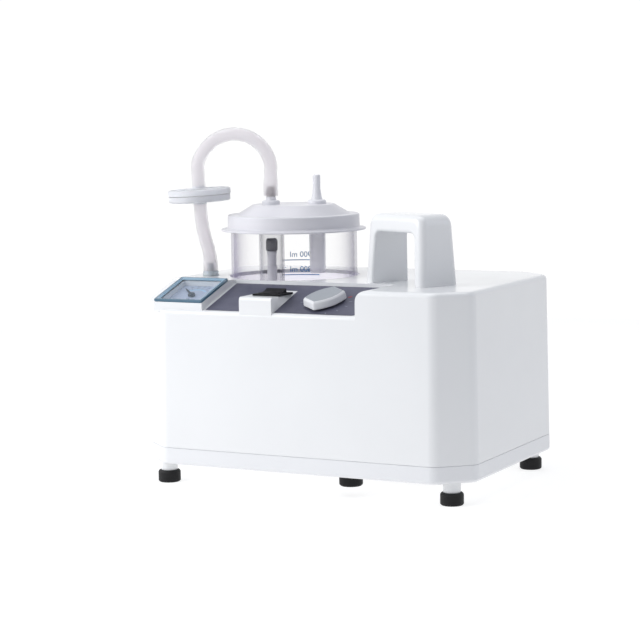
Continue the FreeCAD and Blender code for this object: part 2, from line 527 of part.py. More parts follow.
def jar_and_lid():
    inner = "(jar_radius - jar_wall)"
    node("collection_jar", turned("collection_jar", [
        ("0", "jar_bottom_z"), ("jar_radius - 4", "jar_bottom_z"), ("jar_radius - 1", "jar_bottom_z + 1.2"),
        ("jar_radius", "jar_bottom_z + 4"), ("jar_radius", "jar_rim_z"), (inner, "jar_rim_z"),
        (inner, "jar_bottom_z + 6"), (inner + " - 3", "jar_bottom_z + 3"), ("0", "jar_bottom_z + 3")],
        ("jar_x", "jar_y", "0")))
    well_outer = "(well_radius + well_wall)"
    well = turned("well_form", [
        ("0", "jar_bottom_z - 3"), (well_outer + " - 3", "jar_bottom_z - 3"), (well_outer, "jar_bottom_z"),
        (well_outer, "top_z - wall - 2"), ("well_radius + 5", "top_z - wall - 2"),
        ("well_radius + 5", "top_z - wall"), ("well_radius", "top_z - wall"), ("well_radius", "jar_bottom_z + 1"),
        ("well_radius - 2", "jar_bottom_z"), ("0", "jar_bottom_z")], ("jar_x", "jar_y", "0"))
    panel_room = panel_wedge("well_panel_room", "(wall + 0.2)", "panel_right_x + wall", "(wall + 0.2)")
    node("jar_well", cut("jar_well", well, panel_room))
    lid = turned("lid_form", [
        ("0", "crown_z - 2.2"), ("crown_radius - 1", "crown_z - 2.2"), ("cone_radius - 1.2", "skirt_top_z - 2"),
        ("jar_radius + 0.4", "skirt_top_z - 2"), ("jar_radius + 0.4", "flange_z"), ("flange_radius", "flange_z"),
        ("flange_radius", "flange_z + 1.4"), ("lid_skirt_radius", "flange_z + 2"),
        ("lid_skirt_radius", "skirt_top_z - 0.8"), ("lid_skirt_radius - 0.8", "skirt_top_z"),
        ("cone_radius", "skirt_top_z"), ("crown_radius", "crown_z"), ("0", "crown_z")], ("jar_x", "jar_y", "0"))
    spigots = [rod(f"port_hole{i}", "4.05", "20", (*on_lid(offset), "crown_z - 10"))
               for i, offset in enumerate(("-port_offset", "port_offset + 0.8"))]
    node("jar_lid", cut("jar_lid", lid, *spigots))
    node("lid_gasket", ring("lid_gasket", "jar_radius + 0.2", "jar_radius - 4", "skirt_top_z - 2 - jar_rim_z",
                            ("jar_x", "jar_y", "jar_rim_z")))
    vacuum = on_lid("-port_offset")
    patient = on_lid("port_offset + 0.8")
    node("vacuum_port", turned("vacuum_port", [
        ("1.6", "crown_z - 4.2"), ("4", "crown_z - 4.2"), ("4", "crown_z"), ("port_ring_radius", "crown_z"),
        ("port_ring_radius", "crown_z + 2.4"), ("port_ring_radius - 0.8", "crown_z + port_ring_height"),
        ("4", "crown_z + port_ring_height"), ("hose_bore", "crown_z + 6.6"), ("hose_bore", "crown_z + 13"),
        ("2.6", "crown_z + 14.5"), ("1.6", "crown_z + 14.5")], (*vacuum, "0")))
    node("patient_port", turned("patient_port", [
        ("2", "crown_z - 4.2"), ("4", "crown_z - 4.2"), ("4", "crown_z"), ("port_ring_radius + 0.3", "crown_z"),
        ("port_ring_radius + 0.3", "crown_z + 2"), ("port_ring_radius - 0.7", "crown_z + port_ring_height"),
        ("4.1", "crown_z + port_ring_height"), ("3.1", "crown_z + 12"), ("3.1", "crown_z + 22.4"),
        ("2.6", "crown_z + 23.2"), ("2", "crown_z + 23.2")], (*patient, "0")))
    under_lid = "crown_z - 2.2"
    cage = turned("cage_form", [
        ("cage_radius - 1.2", under_lid), ("cage_radius", under_lid), ("cage_radius", "cage_bottom_z"),
        ("2.4", "cage_bottom_z"), ("2.4", "cage_bottom_z + 1.4"), ("cage_radius - 1.2", "cage_bottom_z + 1.4")],
        (*vacuum, "0"))
    windows = [block(f"cage_window{i}", ("cage_radius * 3", "5", "16"),
                     (f"{vacuum[0]} - cage_radius * 1.5", f"{vacuum[1]} - 2.5", f"cage_bottom_z + {6 + 24 * i}"))
               for i in range(2)]
    node("float_cage", cut("float_cage", cage, *windows))
    node("float_body", turned("float_body", [
        ("0", "cage_bottom_z + 1.4"), ("float_radius - 1", "cage_bottom_z + 1.4"),
        ("float_radius", "cage_bottom_z + 2.4"), ("float_radius", "seal_low_z"), ("0", "seal_low_z")],
        (*vacuum, "0")))
    node("float_seal", turned("float_seal", [
        ("0", "seal_low_z"), ("float_radius", "seal_low_z"), ("seal_radius", "seal_low_z + 1.5"),
        ("seal_radius", "seal_high_z - 2.5"), ("seal_radius - 1.5", "seal_high_z"), ("0", "seal_high_z")],
        (*vacuum, "0")))
    node("inlet_tube", turned("inlet_tube", [
        ("5.2", "inlet_tube_end_z"), ("6.3", "inlet_tube_end_z"), ("6.9", under_lid), ("5.8", under_lid)],
        (*patient, "0")))


# ---------------------------------------------------------------- hoses and filter

LATERAL = V(0.889, 0.458, 0)
DEPTH = V(-0.458, 0.889, 0)


def plumb_point(across, depth, height):
    """A point of the hose line, which hangs in one upright plane through the vacuum port and the filter."""
    return LATERAL * across + DEPTH * depth + V(0, 0, height)


UPPER_ROUTE = [
    (-60.9, 37, 250.9), (-71.8, 37.2, 266.4), (-90, 37.8, 272.3),
    (-108.2, 38.7, 266.4), (-119.7, 39.3, 250.9), (-119.75, 39.5, 240.3), (-119.2, 39.5, 229.8),
]
LOWER_ROUTE = [
    (-118.4, 39.5, 214.8), (-117.75, 39.5, 202.3), (-115.2, 39.5, 188), (-111, 39.6, 175.5),
    (-111, 39.6, 161.5),
]


def smooth_path(points, label):
    """Straight runs joined by tangent arcs, as large as the shorter run beside each corner allows."""
    edges, start, radii = [], points[0], []
    for before, corner, after in zip(points, points[1:], points[2:]):
        back = (before - corner).normalize()
        ahead = (after - corner).normalize()
        reach = 0.45 * min((before - corner).Length, (after - corner).Length)
        half_turn = (math.pi - back.getAngle(ahead)) / 2
        radius = reach / math.tan(half_turn)
        radii.append(radius)
        enter, leave = corner + back * reach, corner + ahead * reach
        bow = (back + ahead).normalize()
        top = corner + bow * (radius / math.cos(half_turn) - radius)
        edges.append(Part.LineSegment(start, enter).toShape())
        edges.append(Part.Arc(enter, top, leave).toShape())
        start = leave
    edges.append(Part.LineSegment(start, points[-1]).toShape())
    print(label, "bend radii", [round(radius, 1) for radius in radii])
    return Part.Wire(edges)


def tube(label, points, outer, inner=None):
    """A tube along a route of runs and arcs; its volume has to be its section times its length."""
    path = smooth_path(points, label)
    direction = points[1] - points[0]

    def sweep(radius):
        circle = Part.Wire(Part.makeCircle(radius, points[0], direction))
        return path.makePipeShell([circle], True, False)

    solid = sweep(outer)
    section = outer ** 2
    if inner is not None:
        solid = solid.cut(sweep(inner))
        section -= inner ** 2
    expected = math.pi * section * path.Length
    if abs(solid.Volume / expected - 1) > 0.01:
        raise ValueError(f"{label}: swept volume {solid.Volume:.0f} is not {expected:.0f}")
    print(label, "length", round(path.Length, 1))
    feature = doc.addObject("Part::Feature", label)
    feature.Shape = solid
    return feature


def filter_line():
    port_x, port_y = (value(number) for number in on_lid("-port_offset"))
    hose_end = value("crown_z + 6.6")
    upper = [V(port_x, port_y, hose_end), V(port_x, port_y, hose_end + 15)]
    upper += [plumb_point(*spot) for spot in UPPER_ROUTE]
    lower = [plumb_point(*spot) for spot in LOWER_ROUTE]
    hose, bore = value("hose_radius"), value("hose_bore")
    node("hose_lid_to_filter", tube("hose_lid_to_filter", upper, hose, bore))
    node("hose_filter_to_body", tube("hose_filter_to_body", lower, hose, bore))
    centre = (upper[-1] + lower[0]) * 0.5
    at = tuple(str(round(number, 4)) for number in centre)
    half, neck, rim = "filter_half", "filter_neck", "filter_radius"
    tilt = dict(axis=tuple(DEPTH), angle="-filter_tilt")
    node("filter_top", turned("filter_top", [
        (rim, "0.4"), (rim, f"{half} - 1"), (f"{rim} - 1", half), ("5.3", half), ("5.3", neck), ("2", neck),
        ("2", f"{half} - 1.6"), (f"{rim} - 3", f"{half} - 1.6"), (f"{rim} - 3", "0.4")], at, **tilt))
    node("filter_bottom", turned("filter_bottom", [
        ("filter_radius - 0.6", "0"), (f"{rim} - 0.6", f"1 - {half}"), (f"{rim} - 1.6", f"-{half}"),
        ("5.3", f"-{half}"), ("5.3", f"-{neck}"), ("2", f"-{neck}"), ("2", f"1.6 - {half}"),
        (f"{rim} - 3.6", f"1.6 - {half}"), (f"{rim} - 3.6", "0")], at, **tilt))
    node("filter_membrane", rod("filter_membrane", f"{rim} - 0.6", "0.4", at, **tilt))
    node("inlet_nipple", turned("inlet_nipple", [
        ("1.6", "top_z - wall - 12"), ("3.2", "top_z - wall - 12"), ("3.2", "top_z - wall - 3"),
        ("5", "top_z - wall - 3"), ("5", "top_z - wall"), ("3.5", "top_z - wall"), ("3.5", "top_z"),
        ("6", "top_z"), ("6", "nipple_top_z - 0.8"), ("5.6", "nipple_top_z"),
        ("2.9", "nipple_top_z"), ("2.9", "nipple_top_z + 5"), ("2.3", "nipple_top_z + 6"),
        ("1.6", "nipple_top_z + 6")],
        ("nipple_x", "nipple_y", "0")))


# ---------------------------------------------------------------- pump works

def y_rod(name, radius, length, y, x="0", z="0"):
    """A rod along +Y from y, on the pump's line or beside it."""
    return rod(name, radius, length, (f"pump_x + {x}", str(y), f"pump_z + {z}"), (1, 0, 0), "-90")


def x_block(name, size, y, drop="0"):
    """A block centred on the pump's line, from y towards the rear."""
    return block(name, size, (f"pump_x - ({size[0]}) / 2", str(y), f"pump_z - ({size[2]}) / 2 + {drop}"))


def pump():
    """A free-piston vacuum pump: coils drive an armature on the piston's tail against a return spring."""
    plate = block("pump_plate_sheet", ("92", "134", "2"), ("pump_x - 46", "-66", "plate_z"))
    plate_holes = [rod(f"plate_hole{i}", "2.6", "8", (f"pump_x + {x}", str(y), "plate_z - 3"))
                   for i, (x, y) in enumerate(PLATE_CORNERS)]
    brackets = [block(f"core_bracket{i}", ("8", "36", "pump_z - plate_z - 14"), (f"pump_x + {side} * 30 - 4", "5",
                                                                           "plate_z + 1"))
                for i, side in enumerate((-1, 1))]
    node("pump_plate", cut("pump_plate", fuse("pump_plate_solid", plate, *brackets), *plate_holes))
    bushes = []
    for i, (x, y) in enumerate(PLATE_CORNERS):
        bushes.append(turned(f"bush{i}", [("0", "base_z + wall"), ("6", "base_z + wall"), ("4.5", "23.5"),
                                          ("6", "plate_z"), ("2.5", "plate_z"), ("2.5", "plate_z + 2"),
                                          ("5", "plate_z + 2"), ("4", "plate_z + 5"), ("0", "plate_z + 5")],
                             (f"pump_x + {x}", str(y), "0")))
    node("rubber_mounts", together("rubber_mounts", *bushes))
    cylinder = x_block("cylinder_block", ("56", "44", "56"), -40)
    base = block("cylinder_foot", ("56", "44", "pump_z - plate_z - 29"), ("pump_x - 28", "-40", "plate_z + 2"))
    fins = [block(f"cylinder_fin{i}", ("64", "2", "56"), ("pump_x - 32", str(-36 + 8 * i), "pump_z - 28"))
            for i in range(5)]
    bore = y_rod("cylinder_bore", "piston_radius + piston_gap", "60", -50)
    bolt_ways = [y_rod(f"cylinder_bolt_way{i}", "2.1", "60", -50, x, z) for i, (x, z) in enumerate(BOLTS)]
    node("pump_cylinder", cut("pump_cylinder", fuse("cylinder_solid", cylinder, base, *fins), bore, *bolt_ways))
    head = x_block("head_block", ("56", "16", "56"), -58)
    chambers = [block("intake_chamber", ("20", "8", "30"), ("pump_x - 24", "-52", "pump_z - 15")),
                block("exhaust_chamber", ("20", "8", "30"), ("pump_x + 4", "-52", "pump_z - 15"))]
    pipes = [rod(f"head_pipe{i}", "3.2", "9", (f"pump_x + {x}", "-50", "pump_z + 28")) for i, x in ((0, -14), (1, 14))]
    pipe_bores = [rod(f"head_pipe_bore{i}", "1.6", "30", (f"pump_x + {x}", "-50", "pump_z + 10"))
                  for i, x in ((0, -14), (1, 14))]
    head_ways = [y_rod(f"head_bolt_way{i}", "2.1", "60", -70, x, z) for i, (x, z) in enumerate(BOLTS)]
    node("pump_head", cut("pump_head", fuse("head_solid", head, *pipes), *chambers, *pipe_bores, *head_ways))
    plate = x_block("valve_sheet", ("56", "2", "56"), -42)
    ports = [y_rod(f"valve_hole{i}", "2", "6", -44, x, z) for i, (x, z) in
             enumerate(((-10, 6), (-10, -6), (10, 6), (10, -6)))]
    plate_ways = [y_rod(f"valve_bolt_way{i}", "2.1", "6", -44, x, z) for i, (x, z) in enumerate(BOLTS)]
    node("valve_plate", cut("valve_plate", plate, *ports, *plate_ways))
    bolts = [fuse(f"head_bolt{i}", y_rod(f"bolt_head{i}", "3.4", "3", -61, x, z),
                  y_rod(f"bolt_shank{i}", "2", "58", -58, x, z)) for i, (x, z) in enumerate(BOLTS)]
    node("pump_bolts", together("pump_bolts", *bolts))
    crown = y_rod("piston_crown", "piston_radius", "22", -34)
    tail = y_rod("piston_tail", "4", "80", -14)
    node("pump_piston", fuse("pump_piston", crown, tail))
    armature = cut("armature", x_block("armature_block", ("24", "24", "24"), 9), y_rod("armature_way", "4", "40", 0))
    node("pump_armature", armature)
    cores, coils = [], []
    for i, side in enumerate((-1, 1)):
        core = block(f"core_back{i}", ("8", "36", "26"), (f"pump_x + {side} * 30 - 4", "5", "pump_z - 13"))
        arms = [block(f"core_arm{i}{j}", ("14", "8", "26"), (f"pump_x + {side} * 20 - 7", str(y), "pump_z - 13"))
                for j, y in enumerate((5, 33))]
        cores.append(fuse(f"core{i}", core, *arms))
        coil = block(f"coil_outside{i}", ("10", "19.6", "44"), (f"pump_x + {side} * 19.4 - 5", "13.2",
                                                               "pump_z - 22"))
        coils.append(coil)
    node("magnet_cores", together("magnet_cores", *cores))
    node("drive_coils", together("drive_coils", *coils))
    spring = doc.addObject("Part::Feature", "return_spring")
    helix = Part.makeHelix(3.6, 19.1, 7)
    wire = Part.Wire(Part.makeCircle(0.9, V(7, 0, 0), V(0, 1, 0)))
    coil_shape = Part.Wire(helix.Edges).makePipeShell([wire], True, True)
    coil_shape.rotate(V(), V(1, 0, 0), -90)
    spring.Shape = coil_shape
    spring.Placement.Base = V(value("pump_x"), 33.95, value("pump_z"))
    node("return_spring", spring)
    stop = x_block("rear_stop_plate", ("56", "4", "40"), 54, "0")
    stop_foot = block("rear_stop_foot", ("56", "4", "pump_z - plate_z - 20"), ("pump_x - 28", "54", "plate_z + 2"))
    guide = y_rod("rear_guide", "4.05", "10", 50)
    node("rear_stop", cut("rear_stop", fuse("rear_stop_solid", stop, stop_foot), guide))


BOLTS = [(-22, -22), (22, -22), (22, 22), (-22, 22)]
PLATE_CORNERS = [(-38, -58), (38, -58), (38, 60), (-38, 60)]


def cooling_fan():
    frame = x_block("fan_frame_block", ("60", "15", "60"), 76)
    duct = y_rod("fan_duct", "fan_radius + 2", "30", 70)
    bars = [x_block(f"fan_bar{i}", size, 76) for i, size in enumerate((("60", "2", "5"), ("5", "2", "60")))]
    boss = y_rod("fan_boss", "11", "2", 76)
    bearing = y_rod("fan_bearing", "1.55", "20", 70)
    node("fan_frame", cut("fan_frame", fuse("fan_solid", cut("fan_ring", frame, duct), *bars, boss), bearing))
    hub = y_rod("fan_hub", "10.5", "10", 79)
    shaft = y_rod("fan_shaft", "1.5", "14", 75)
    blades = []
    for i in range(7):
        blade = block(f"fan_blade{i}", ("fan_radius - 9", "1.2", "9"), ("9", "-0.6", "-4.5"), (1, 0, 0), "35")
        blades.append(blade)
    doc.recompute()
    rotor_shape = hub.Shape.fuse(shaft.Shape)
    for i, blade in enumerate(blades):
        shape = blade.Shape.copy()
        shape.rotate(V(), V(0, 0, 1), 360 / 7 * i)
        shape.rotate(V(), V(1, 0, 0), -90)
        shape.translate(V(value("pump_x"), 84, value("pump_z")))
        rotor_shape = rotor_shape.fuse(shape)
    rotor = doc.addObject("Part::Feature", "fan_rotor")
    rotor.Shape = rotor_shape.removeSplitter()
    node("fan_rotor", rotor)


def power_entry():
    flange = block("entry_flange", ("34", "2", "46"), ("-92", "93.5", "37"))
    shell = block("entry_shell", ("28", "20.3", "40"), ("-89", "74", "40"))
    socket = block("entry_socket", ("24", "18", "16.4"), ("-87", "82", "43"))
    drawer_way = block("entry_drawer_way", ("22.2", "22", "11.2"), ("-86.1", "79", "65.9"))
    tabs = [block(f"entry_tab{i}", ("5", "7", "0.8"), (f"{x}", "67.5", "51")) for i, x in
            enumerate(("-85.5", "-77.5", "-69.5"))]
    pin_ways = [block(f"entry_pin_way{i}", ("4", "30", "2"), (x, "60", z)) for i, (x, z) in enumerate(INLET_PINS)]
    node("power_inlet", cut("power_inlet", fuse("entry_solid", flange, shell, *tabs), socket, drawer_way,
                            *pin_ways))
    pins = [block(f"inlet_pin{i}", ("4", "18", "2"), (x, "74", z)) for i, (x, z) in enumerate(INLET_PINS)]
    node("inlet_pins", together("inlet_pins", *pins))
    drawer = block("drawer_body", ("21.8", "16.2", "10.8"), ("-85.9", "79.4", "66.1"))
    lip = block("drawer_lip", ("21.8", "1.6", "12.8"), ("-85.9", "95.5", "65.1"))
    slots = [rod(f"fuse_way{i}", "2.65", "14.4", (x, "80.4", "71.5"), (1, 0, 0), "-90") for i, x in
             enumerate(("-80.5", "-69.5"))]
    openings = [block(f"fuse_opening{i}", ("5.3", "14.4", "6"), (f"{x} - 2.65", "80.4", "71.5")) for i, x in
                enumerate(("-80.5", "-69.5"))]
    node("fuse_drawer", cut("fuse_drawer", fuse("drawer_solid", drawer, lip), *slots, *openings))
    fuses = [rod(f"fuse{i}", "2.6", "14", (x, "80.6", "71.5"), (1, 0, 0), "-90") for i, x in
             enumerate(("-80.5", "-69.5"))]
    node("fuses", together("fuses", *fuses))


INLET_PINS = [("-84", "47"), ("-77", "52.4"), ("-70", "47")]


def electronics():
    board = block("board_sheet", ("76", "1.6", "46"), ("-112", "-66", "38"))
    node("control_board", board)
    capacitor = rod("capacitor_can", "9", "26", ("-98", "-66", "60"), (1, 0, 0), "90")
    relay = block("relay_case", ("16", "14", "20"), ("-76", "-80", "50"))
    terminals = block("terminal_strip", ("20", "9", "9"), ("-56", "-75", "44"))
    node("board_parts", together("board_parts", capacitor, relay, terminals))


GAUGE_STUB = ("0", "gauge_length / 2")
VALVE_PORT = ("regulator_x", "regulator_run")
HOSE_ROUTES = {
    "from_nipple": [("nipple_x", "nipple_y", 142.3), ("nipple_x", "nipple_y", 132), (-117, -36, 114),
                    (-106, -50, 96), (-84, -57, 81), (-46, -58, 80), (-30, -58, 80)],
    "from_gauge": [gauge_spot(*GAUGE_STUB, "-12.8 - gauge_can_depth"),
                   gauge_spot(*GAUGE_STUB, "-24 - gauge_can_depth"), (-90, -57, 93), (-46, -58, 90), (-30, -58, 90)],
    "from_regulator": [(12, -58, 95), (12, -58, 100), on_slope(*VALVE_PORT, "-41"), on_slope(*VALVE_PORT, "-34")],
    "to_pump": [(18, -58, 84), (28, -58, 84), (35, -60, 98), (36, -60, 116), (45, -55, 126), (56, -50, 123),
                (56, -50, 111)],
    "to_muffler": [(84, -50, 111), (84, -50, 120), (98, -60, 130), (114, -68, 118), (118, -72, 98),
                   (119, -71, 76), (117, -62, 58), (116, -50, 56), (116, -40, 56)],
}
WIRE_ROUTES = {
    "mains": [(-83, 67.5, 51.4), (-83, 63.5, 51.4), (-87, 62, 42), (-88, 48, 27), (-84, 10, 25), (-80, -30, 26),
              (-77, -52, 36), (-77, -58, 44), (-77, -64.4, 44)],
    "switch": [(-46, -70.5, 53), (-46, -70.5, 62), (-40, -74, 100), (-34.4, -78, 116), (-34.4, -78, 126.8)],
    "coils": [(-36, -70.5, 48), (-27, -70.5, 48), (-12, -68.5, 36), (6, -64, 31), (16, -40, 31), (21, 8, 32),
              (26, 40, 35), (38, 47.5, 37), (48, 42, 37), (50.6, 26, 38), (50.6, 23, 45), (50.6, 23, 52)],
}


def leads(label, routes, outer, inner=None):
    """Several hoses or wires, each on its own route, that count as one node."""
    pieces = [tube(f"{label}_{name}", [V(*[value(number) for number in point]) for point in route], outer, inner)
              for name, route in routes.items()]
    node(label, together(label, *pieces))


def plumbing():
    """The hoses and wires inside: nipple, gauge and regulator all meet the pump at one manifold."""
    bar = block("manifold_bar", ("48", "12", "24"), ("-30", "-64", "71"))
    leg = block("manifold_leg", ("8", "4", "52"), ("-10", "-60", "base_z + wall"))
    bores = [rod(f"manifold_bore{i}", "2", "20", (x, "-58", z), (0, 1, 0), "90")
             for i, (x, z) in enumerate((("-32", "80"), ("-32", "90"), ("2", "84")))]
    top_bore = rod("manifold_top_bore", "2", "12", ("12", "-58", "84"))
    node("manifold", cut("manifold", fuse("manifold_solid", bar, leg), *bores, top_bore))
    leads("internal_hoses", HOSE_ROUTES, 3.6, 2)
    leads("wiring", WIRE_ROUTES, 1.5)
    node("exhaust_muffler", y_rod("exhaust_muffler", "11", "62", "-40", "46", "-18"))


housing_steps = (base_tray, upper_cover, carry_handle, feet)
control_steps = (control_panel_skin, vacuum_gauge, power_switch, regulator)
for step in housing_steps + control_steps + (jar_and_lid, filter_line, pump, cooling_fan, power_entry,
                                             electronics, plumbing):
    step()
doc.recompute()

# ---------------------------------------------------------------- checks and files

for thing in doc.Objects:
    if "Invalid" in thing.State or "Error" in thing.State:
        raise RuntimeError(f"{thing.Name} failed: {thing.State}")

os.makedirs("parts", exist_ok=True)
for label, thing in NODES.items():
    shape = thing.Shape
    if shape.isNull() or not shape.isValid() or not shape.Solids:
        raise RuntimeError(f"{label} has no sound shape")
    shape.exportStep(f"parts/{label}.step")
print(len(NODES), "nodes")
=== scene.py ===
"""The suction pump's looks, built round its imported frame. Metres, +Z up, the controls towards -Y."""
import json
import math

import bmesh
import bpy
from mathutils import Matrix, Vector


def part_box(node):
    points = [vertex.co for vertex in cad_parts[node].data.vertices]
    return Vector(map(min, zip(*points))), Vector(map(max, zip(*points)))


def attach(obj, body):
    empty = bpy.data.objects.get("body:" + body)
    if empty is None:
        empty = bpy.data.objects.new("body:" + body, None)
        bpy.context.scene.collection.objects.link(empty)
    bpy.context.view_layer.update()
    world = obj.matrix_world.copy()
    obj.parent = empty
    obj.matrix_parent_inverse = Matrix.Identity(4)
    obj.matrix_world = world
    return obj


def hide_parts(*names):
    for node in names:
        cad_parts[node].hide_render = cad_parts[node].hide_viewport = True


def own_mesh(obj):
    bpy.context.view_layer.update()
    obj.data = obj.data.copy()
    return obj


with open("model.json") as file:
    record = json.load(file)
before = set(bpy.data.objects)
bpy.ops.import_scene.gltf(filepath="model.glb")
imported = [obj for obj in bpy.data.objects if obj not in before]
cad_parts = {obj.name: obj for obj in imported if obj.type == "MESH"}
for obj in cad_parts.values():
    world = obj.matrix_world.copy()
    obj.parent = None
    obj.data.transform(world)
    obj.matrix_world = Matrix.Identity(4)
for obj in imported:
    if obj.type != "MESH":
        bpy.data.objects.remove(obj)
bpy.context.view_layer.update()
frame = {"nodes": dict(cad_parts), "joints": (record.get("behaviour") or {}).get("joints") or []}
NODES = frame["nodes"]
MM = 0.001

# ---------------------------------------------------------------- the view

CAMERA_PLACE = (0.70964, -1.42771, 0.30016)
CAMERA_YAW, CAMERA_PITCH, CAMERA_ROLL = 27.274, 6.3, -0.903
CAMERA_LENS, CAMERA_SENSOR = 114.2, 36.0


def make_camera():
    data = bpy.data.cameras.new("camera")
    data.lens, data.sensor_width = CAMERA_LENS, CAMERA_SENSOR
    data.clip_start, data.clip_end = 0.05, 60.0
    camera = bpy.data.objects.new("camera", data)
    bpy.context.scene.collection.objects.link(camera)
    turn = Matrix.Rotation(math.radians(CAMERA_YAW), 4, "Z")
    turn @= Matrix.Rotation(math.radians(90 - CAMERA_PITCH), 4, "X")
    turn @= Matrix.Rotation(math.radians(CAMERA_ROLL), 4, "Z")
    camera.matrix_world = Matrix.Translation(CAMERA_PLACE) @ turn
    bpy.context.scene.camera = camera


make_camera()


# ---------------------------------------------------------------- places from the frame


def low_corner(node):
    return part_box(node)[0] / MM


def high_corner(node):
    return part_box(node)[1] / MM


def centre_of(node):
    """The middle of a node's box, in metres."""
    low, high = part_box(node)
    return (low + high) / 2


# ---------------------------------------------------------------- making meshes

WELD_GAP, FLAT_ANGLE = 0.002, 0.5       # what clean_cad joins, in millimetres and in degrees


def piece(name, shape, body, material, replaced=(), smooth=30.0):
    """A finished piece from a mesh or a bmesh: shaded smooth up to an angle, and riding on its body."""
    mesh = to_mesh(name, shape) if isinstance(shape, bmesh.types.BMesh) else shape
    if smooth:
        mesh.polygons.foreach_set("use_smooth", [True] * len(mesh.polygons))
        mesh.set_sharp_from_angle(angle=math.radians(smooth))
    mesh.materials.append(material)
    thing = bpy.data.objects.new(name, mesh)
    bpy.context.scene.collection.objects.link(thing)
    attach(thing, body)
    if replaced:
        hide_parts(*replaced)
    return thing


def to_mesh(name, bm):
    bmesh.ops.recalc_face_normals(bm, faces=bm.faces)
    mesh = bpy.data.meshes.new(name)
    bm.to_mesh(mesh)
    bm.free()
    return mesh


def rounded(corners, radii, steps=5, closed=False):
    """An outline with an arc in place of each corner. radii is one radius, or one for each corner."""
    corners = [Vector(corner) for corner in corners]
    radii = [radii] * len(corners) if isinstance(radii, (int, float)) else radii
    points = []
    last = len(corners) - 1
    for i, corner in enumerate(corners):
        if radii[i] <= 0 or (not closed and i in (0, last)):
            points.append(corner)
            continue
        back = corners[i - 1] - corner
        ahead = corners[(i + 1) % len(corners)] - corner
        half = back.angle(ahead) / 2
        reach = min(radii[i] / math.tan(half), 0.49 * back.length, 0.49 * ahead.length)
        radius = reach * math.tan(half)
        back, ahead = back.normalized(), ahead.normalized()
        centre = corner + (back + ahead).normalized() * (radius / math.sin(half))
        start, end = corner + back * reach - centre, corner + ahead * reach - centre
        arc = [start.slerp(end, step / steps).normalized() for step in range(steps + 1)]
        points += [centre + direction * radius for direction in arc]
    return points


def turned(profile, centre, segments, closed=False):
    """A shape turned about the upright line through centre. profile has radii and heights in millimetres."""
    bm = bmesh.new()
    rings = []
    for radius, height in profile:
        if radius < 1e-6:
            rings.append([bm.verts.new((centre[0], centre[1], height * MM))])
            continue
        ring = []
        for step in range(segments):
            angle = 2 * math.pi * step / segments
            ring.append(bm.verts.new((centre[0] + radius * MM * math.cos(angle),
                                      centre[1] + radius * MM * math.sin(angle), height * MM)))
        rings.append(ring)
    pairs = list(zip(rings, rings[1:]))
    if closed:
        pairs.append((rings[-1], rings[0]))
    for low, high in pairs:
        for step in range(segments):
            after = (step + 1) % segments
            corners = [low[step % len(low)], low[after % len(low)], high[after % len(high)],
                       high[step % len(high)]]
            unique = list(dict.fromkeys(corners))
            if len(unique) > 2:
                bm.faces.new(unique)
    return bm


def drawn_in(outline, inset):
    """A closed outline moved inwards by inset, corner by corner. It runs anticlockwise."""
    moved = []
    for i, corner in enumerate(outline):
        before = (corner - outline[i - 1]).normalized()
        after = (outline[(i + 1) % len(outline)] - corner).normalized()
        inward = Vector((-before.y - after.y, before.x + after.x)).normalized()
        share = max(0.5, inward.dot(Vector((-before.y, before.x))))
        moved.append(corner + inward * (inset / share))
    return moved


def joined(bm, near, far):
    """Faces between two rings of as many corners."""
    for i in range(len(near)):
        j = (i + 1) % len(near)
        bm.faces.new((near[i], near[j], far[j], far[i]))


def stacked(bm, outline, levels, to_place, caps=True):
    """A solid made of one closed outline at several levels, each a height and how far it is drawn in.

    With caps off the levels go round in a loop, for a frame that is open in the middle."""
    outline = [Vector(corner) for corner in outline]
    rings = []
    for height, inset in levels:
        ring = [bm.verts.new(to_place(Vector((*corner, height))) * MM) for corner in drawn_in(outline, inset)]
        rings.append(ring)
    pairs = list(zip(rings, rings[1:]))
    if not caps:
        pairs.append((rings[-1], rings[0]))
    for low, high in pairs:
        joined(bm, low, high)
    if caps:
        bm.faces.new(rings[0][::-1])
        bm.faces.new(rings[-1])


def rectangle(left, front, right, rear, radius=0.0):
    """An anticlockwise rectangle with rounded corners."""
    return rounded([(left, front), (right, front), (right, rear), (left, rear)], radius, closed=True)


def soften(thing, width, segments=3, angle=35.0):
    """Rounded edges where faces meet at more than an angle, and flat faces that stay flat in shading."""
    bevel = thing.modifiers.new("soft_edges", "BEVEL")
    bevel.width, bevel.segments = width * MM, segments
    bevel.limit_method, bevel.angle_limit = "ANGLE", math.radians(angle)
    bevel.miter_outer = "MITER_ARC"
    bevel.use_clamp_overlap = True
    flat_faces(thing)


def flat_faces(thing):
    """Shading that keeps flat faces flat and bends only over the small rounded ones."""
    weighted = thing.modifiers.new("flat_faces", "WEIGHTED_NORMAL")
    weighted.keep_sharp = True


def clean_cad(thing, width):
    """A CAD node shown as it is: its flat faces made whole again, its hard edges softened by a width."""
    mesh = thing.data
    mesh.polygons.foreach_set("use_smooth", [True] * len(mesh.polygons))
    weld = thing.modifiers.new("weld", "WELD")
    weld.merge_threshold = WELD_GAP * MM
    flats = thing.modifiers.new("flats", "DECIMATE")
    flats.decimate_type, flats.angle_limit = "DISSOLVE", math.radians(FLAT_ANGLE)
    if width:
        soften(thing, width)
    else:
        flat_faces(thing)


# ---------------------------------------------------------------- materials

NOISE_LOW, NOISE_HIGH = 0.3, 0.7        # the middle of a noise's values, stretched to the whole range

def blank_material(name):
    material = bpy.data.materials.new(name)
    material.use_nodes = True
    tree = material.node_tree
    return material, tree, tree.nodes["Principled BSDF"]


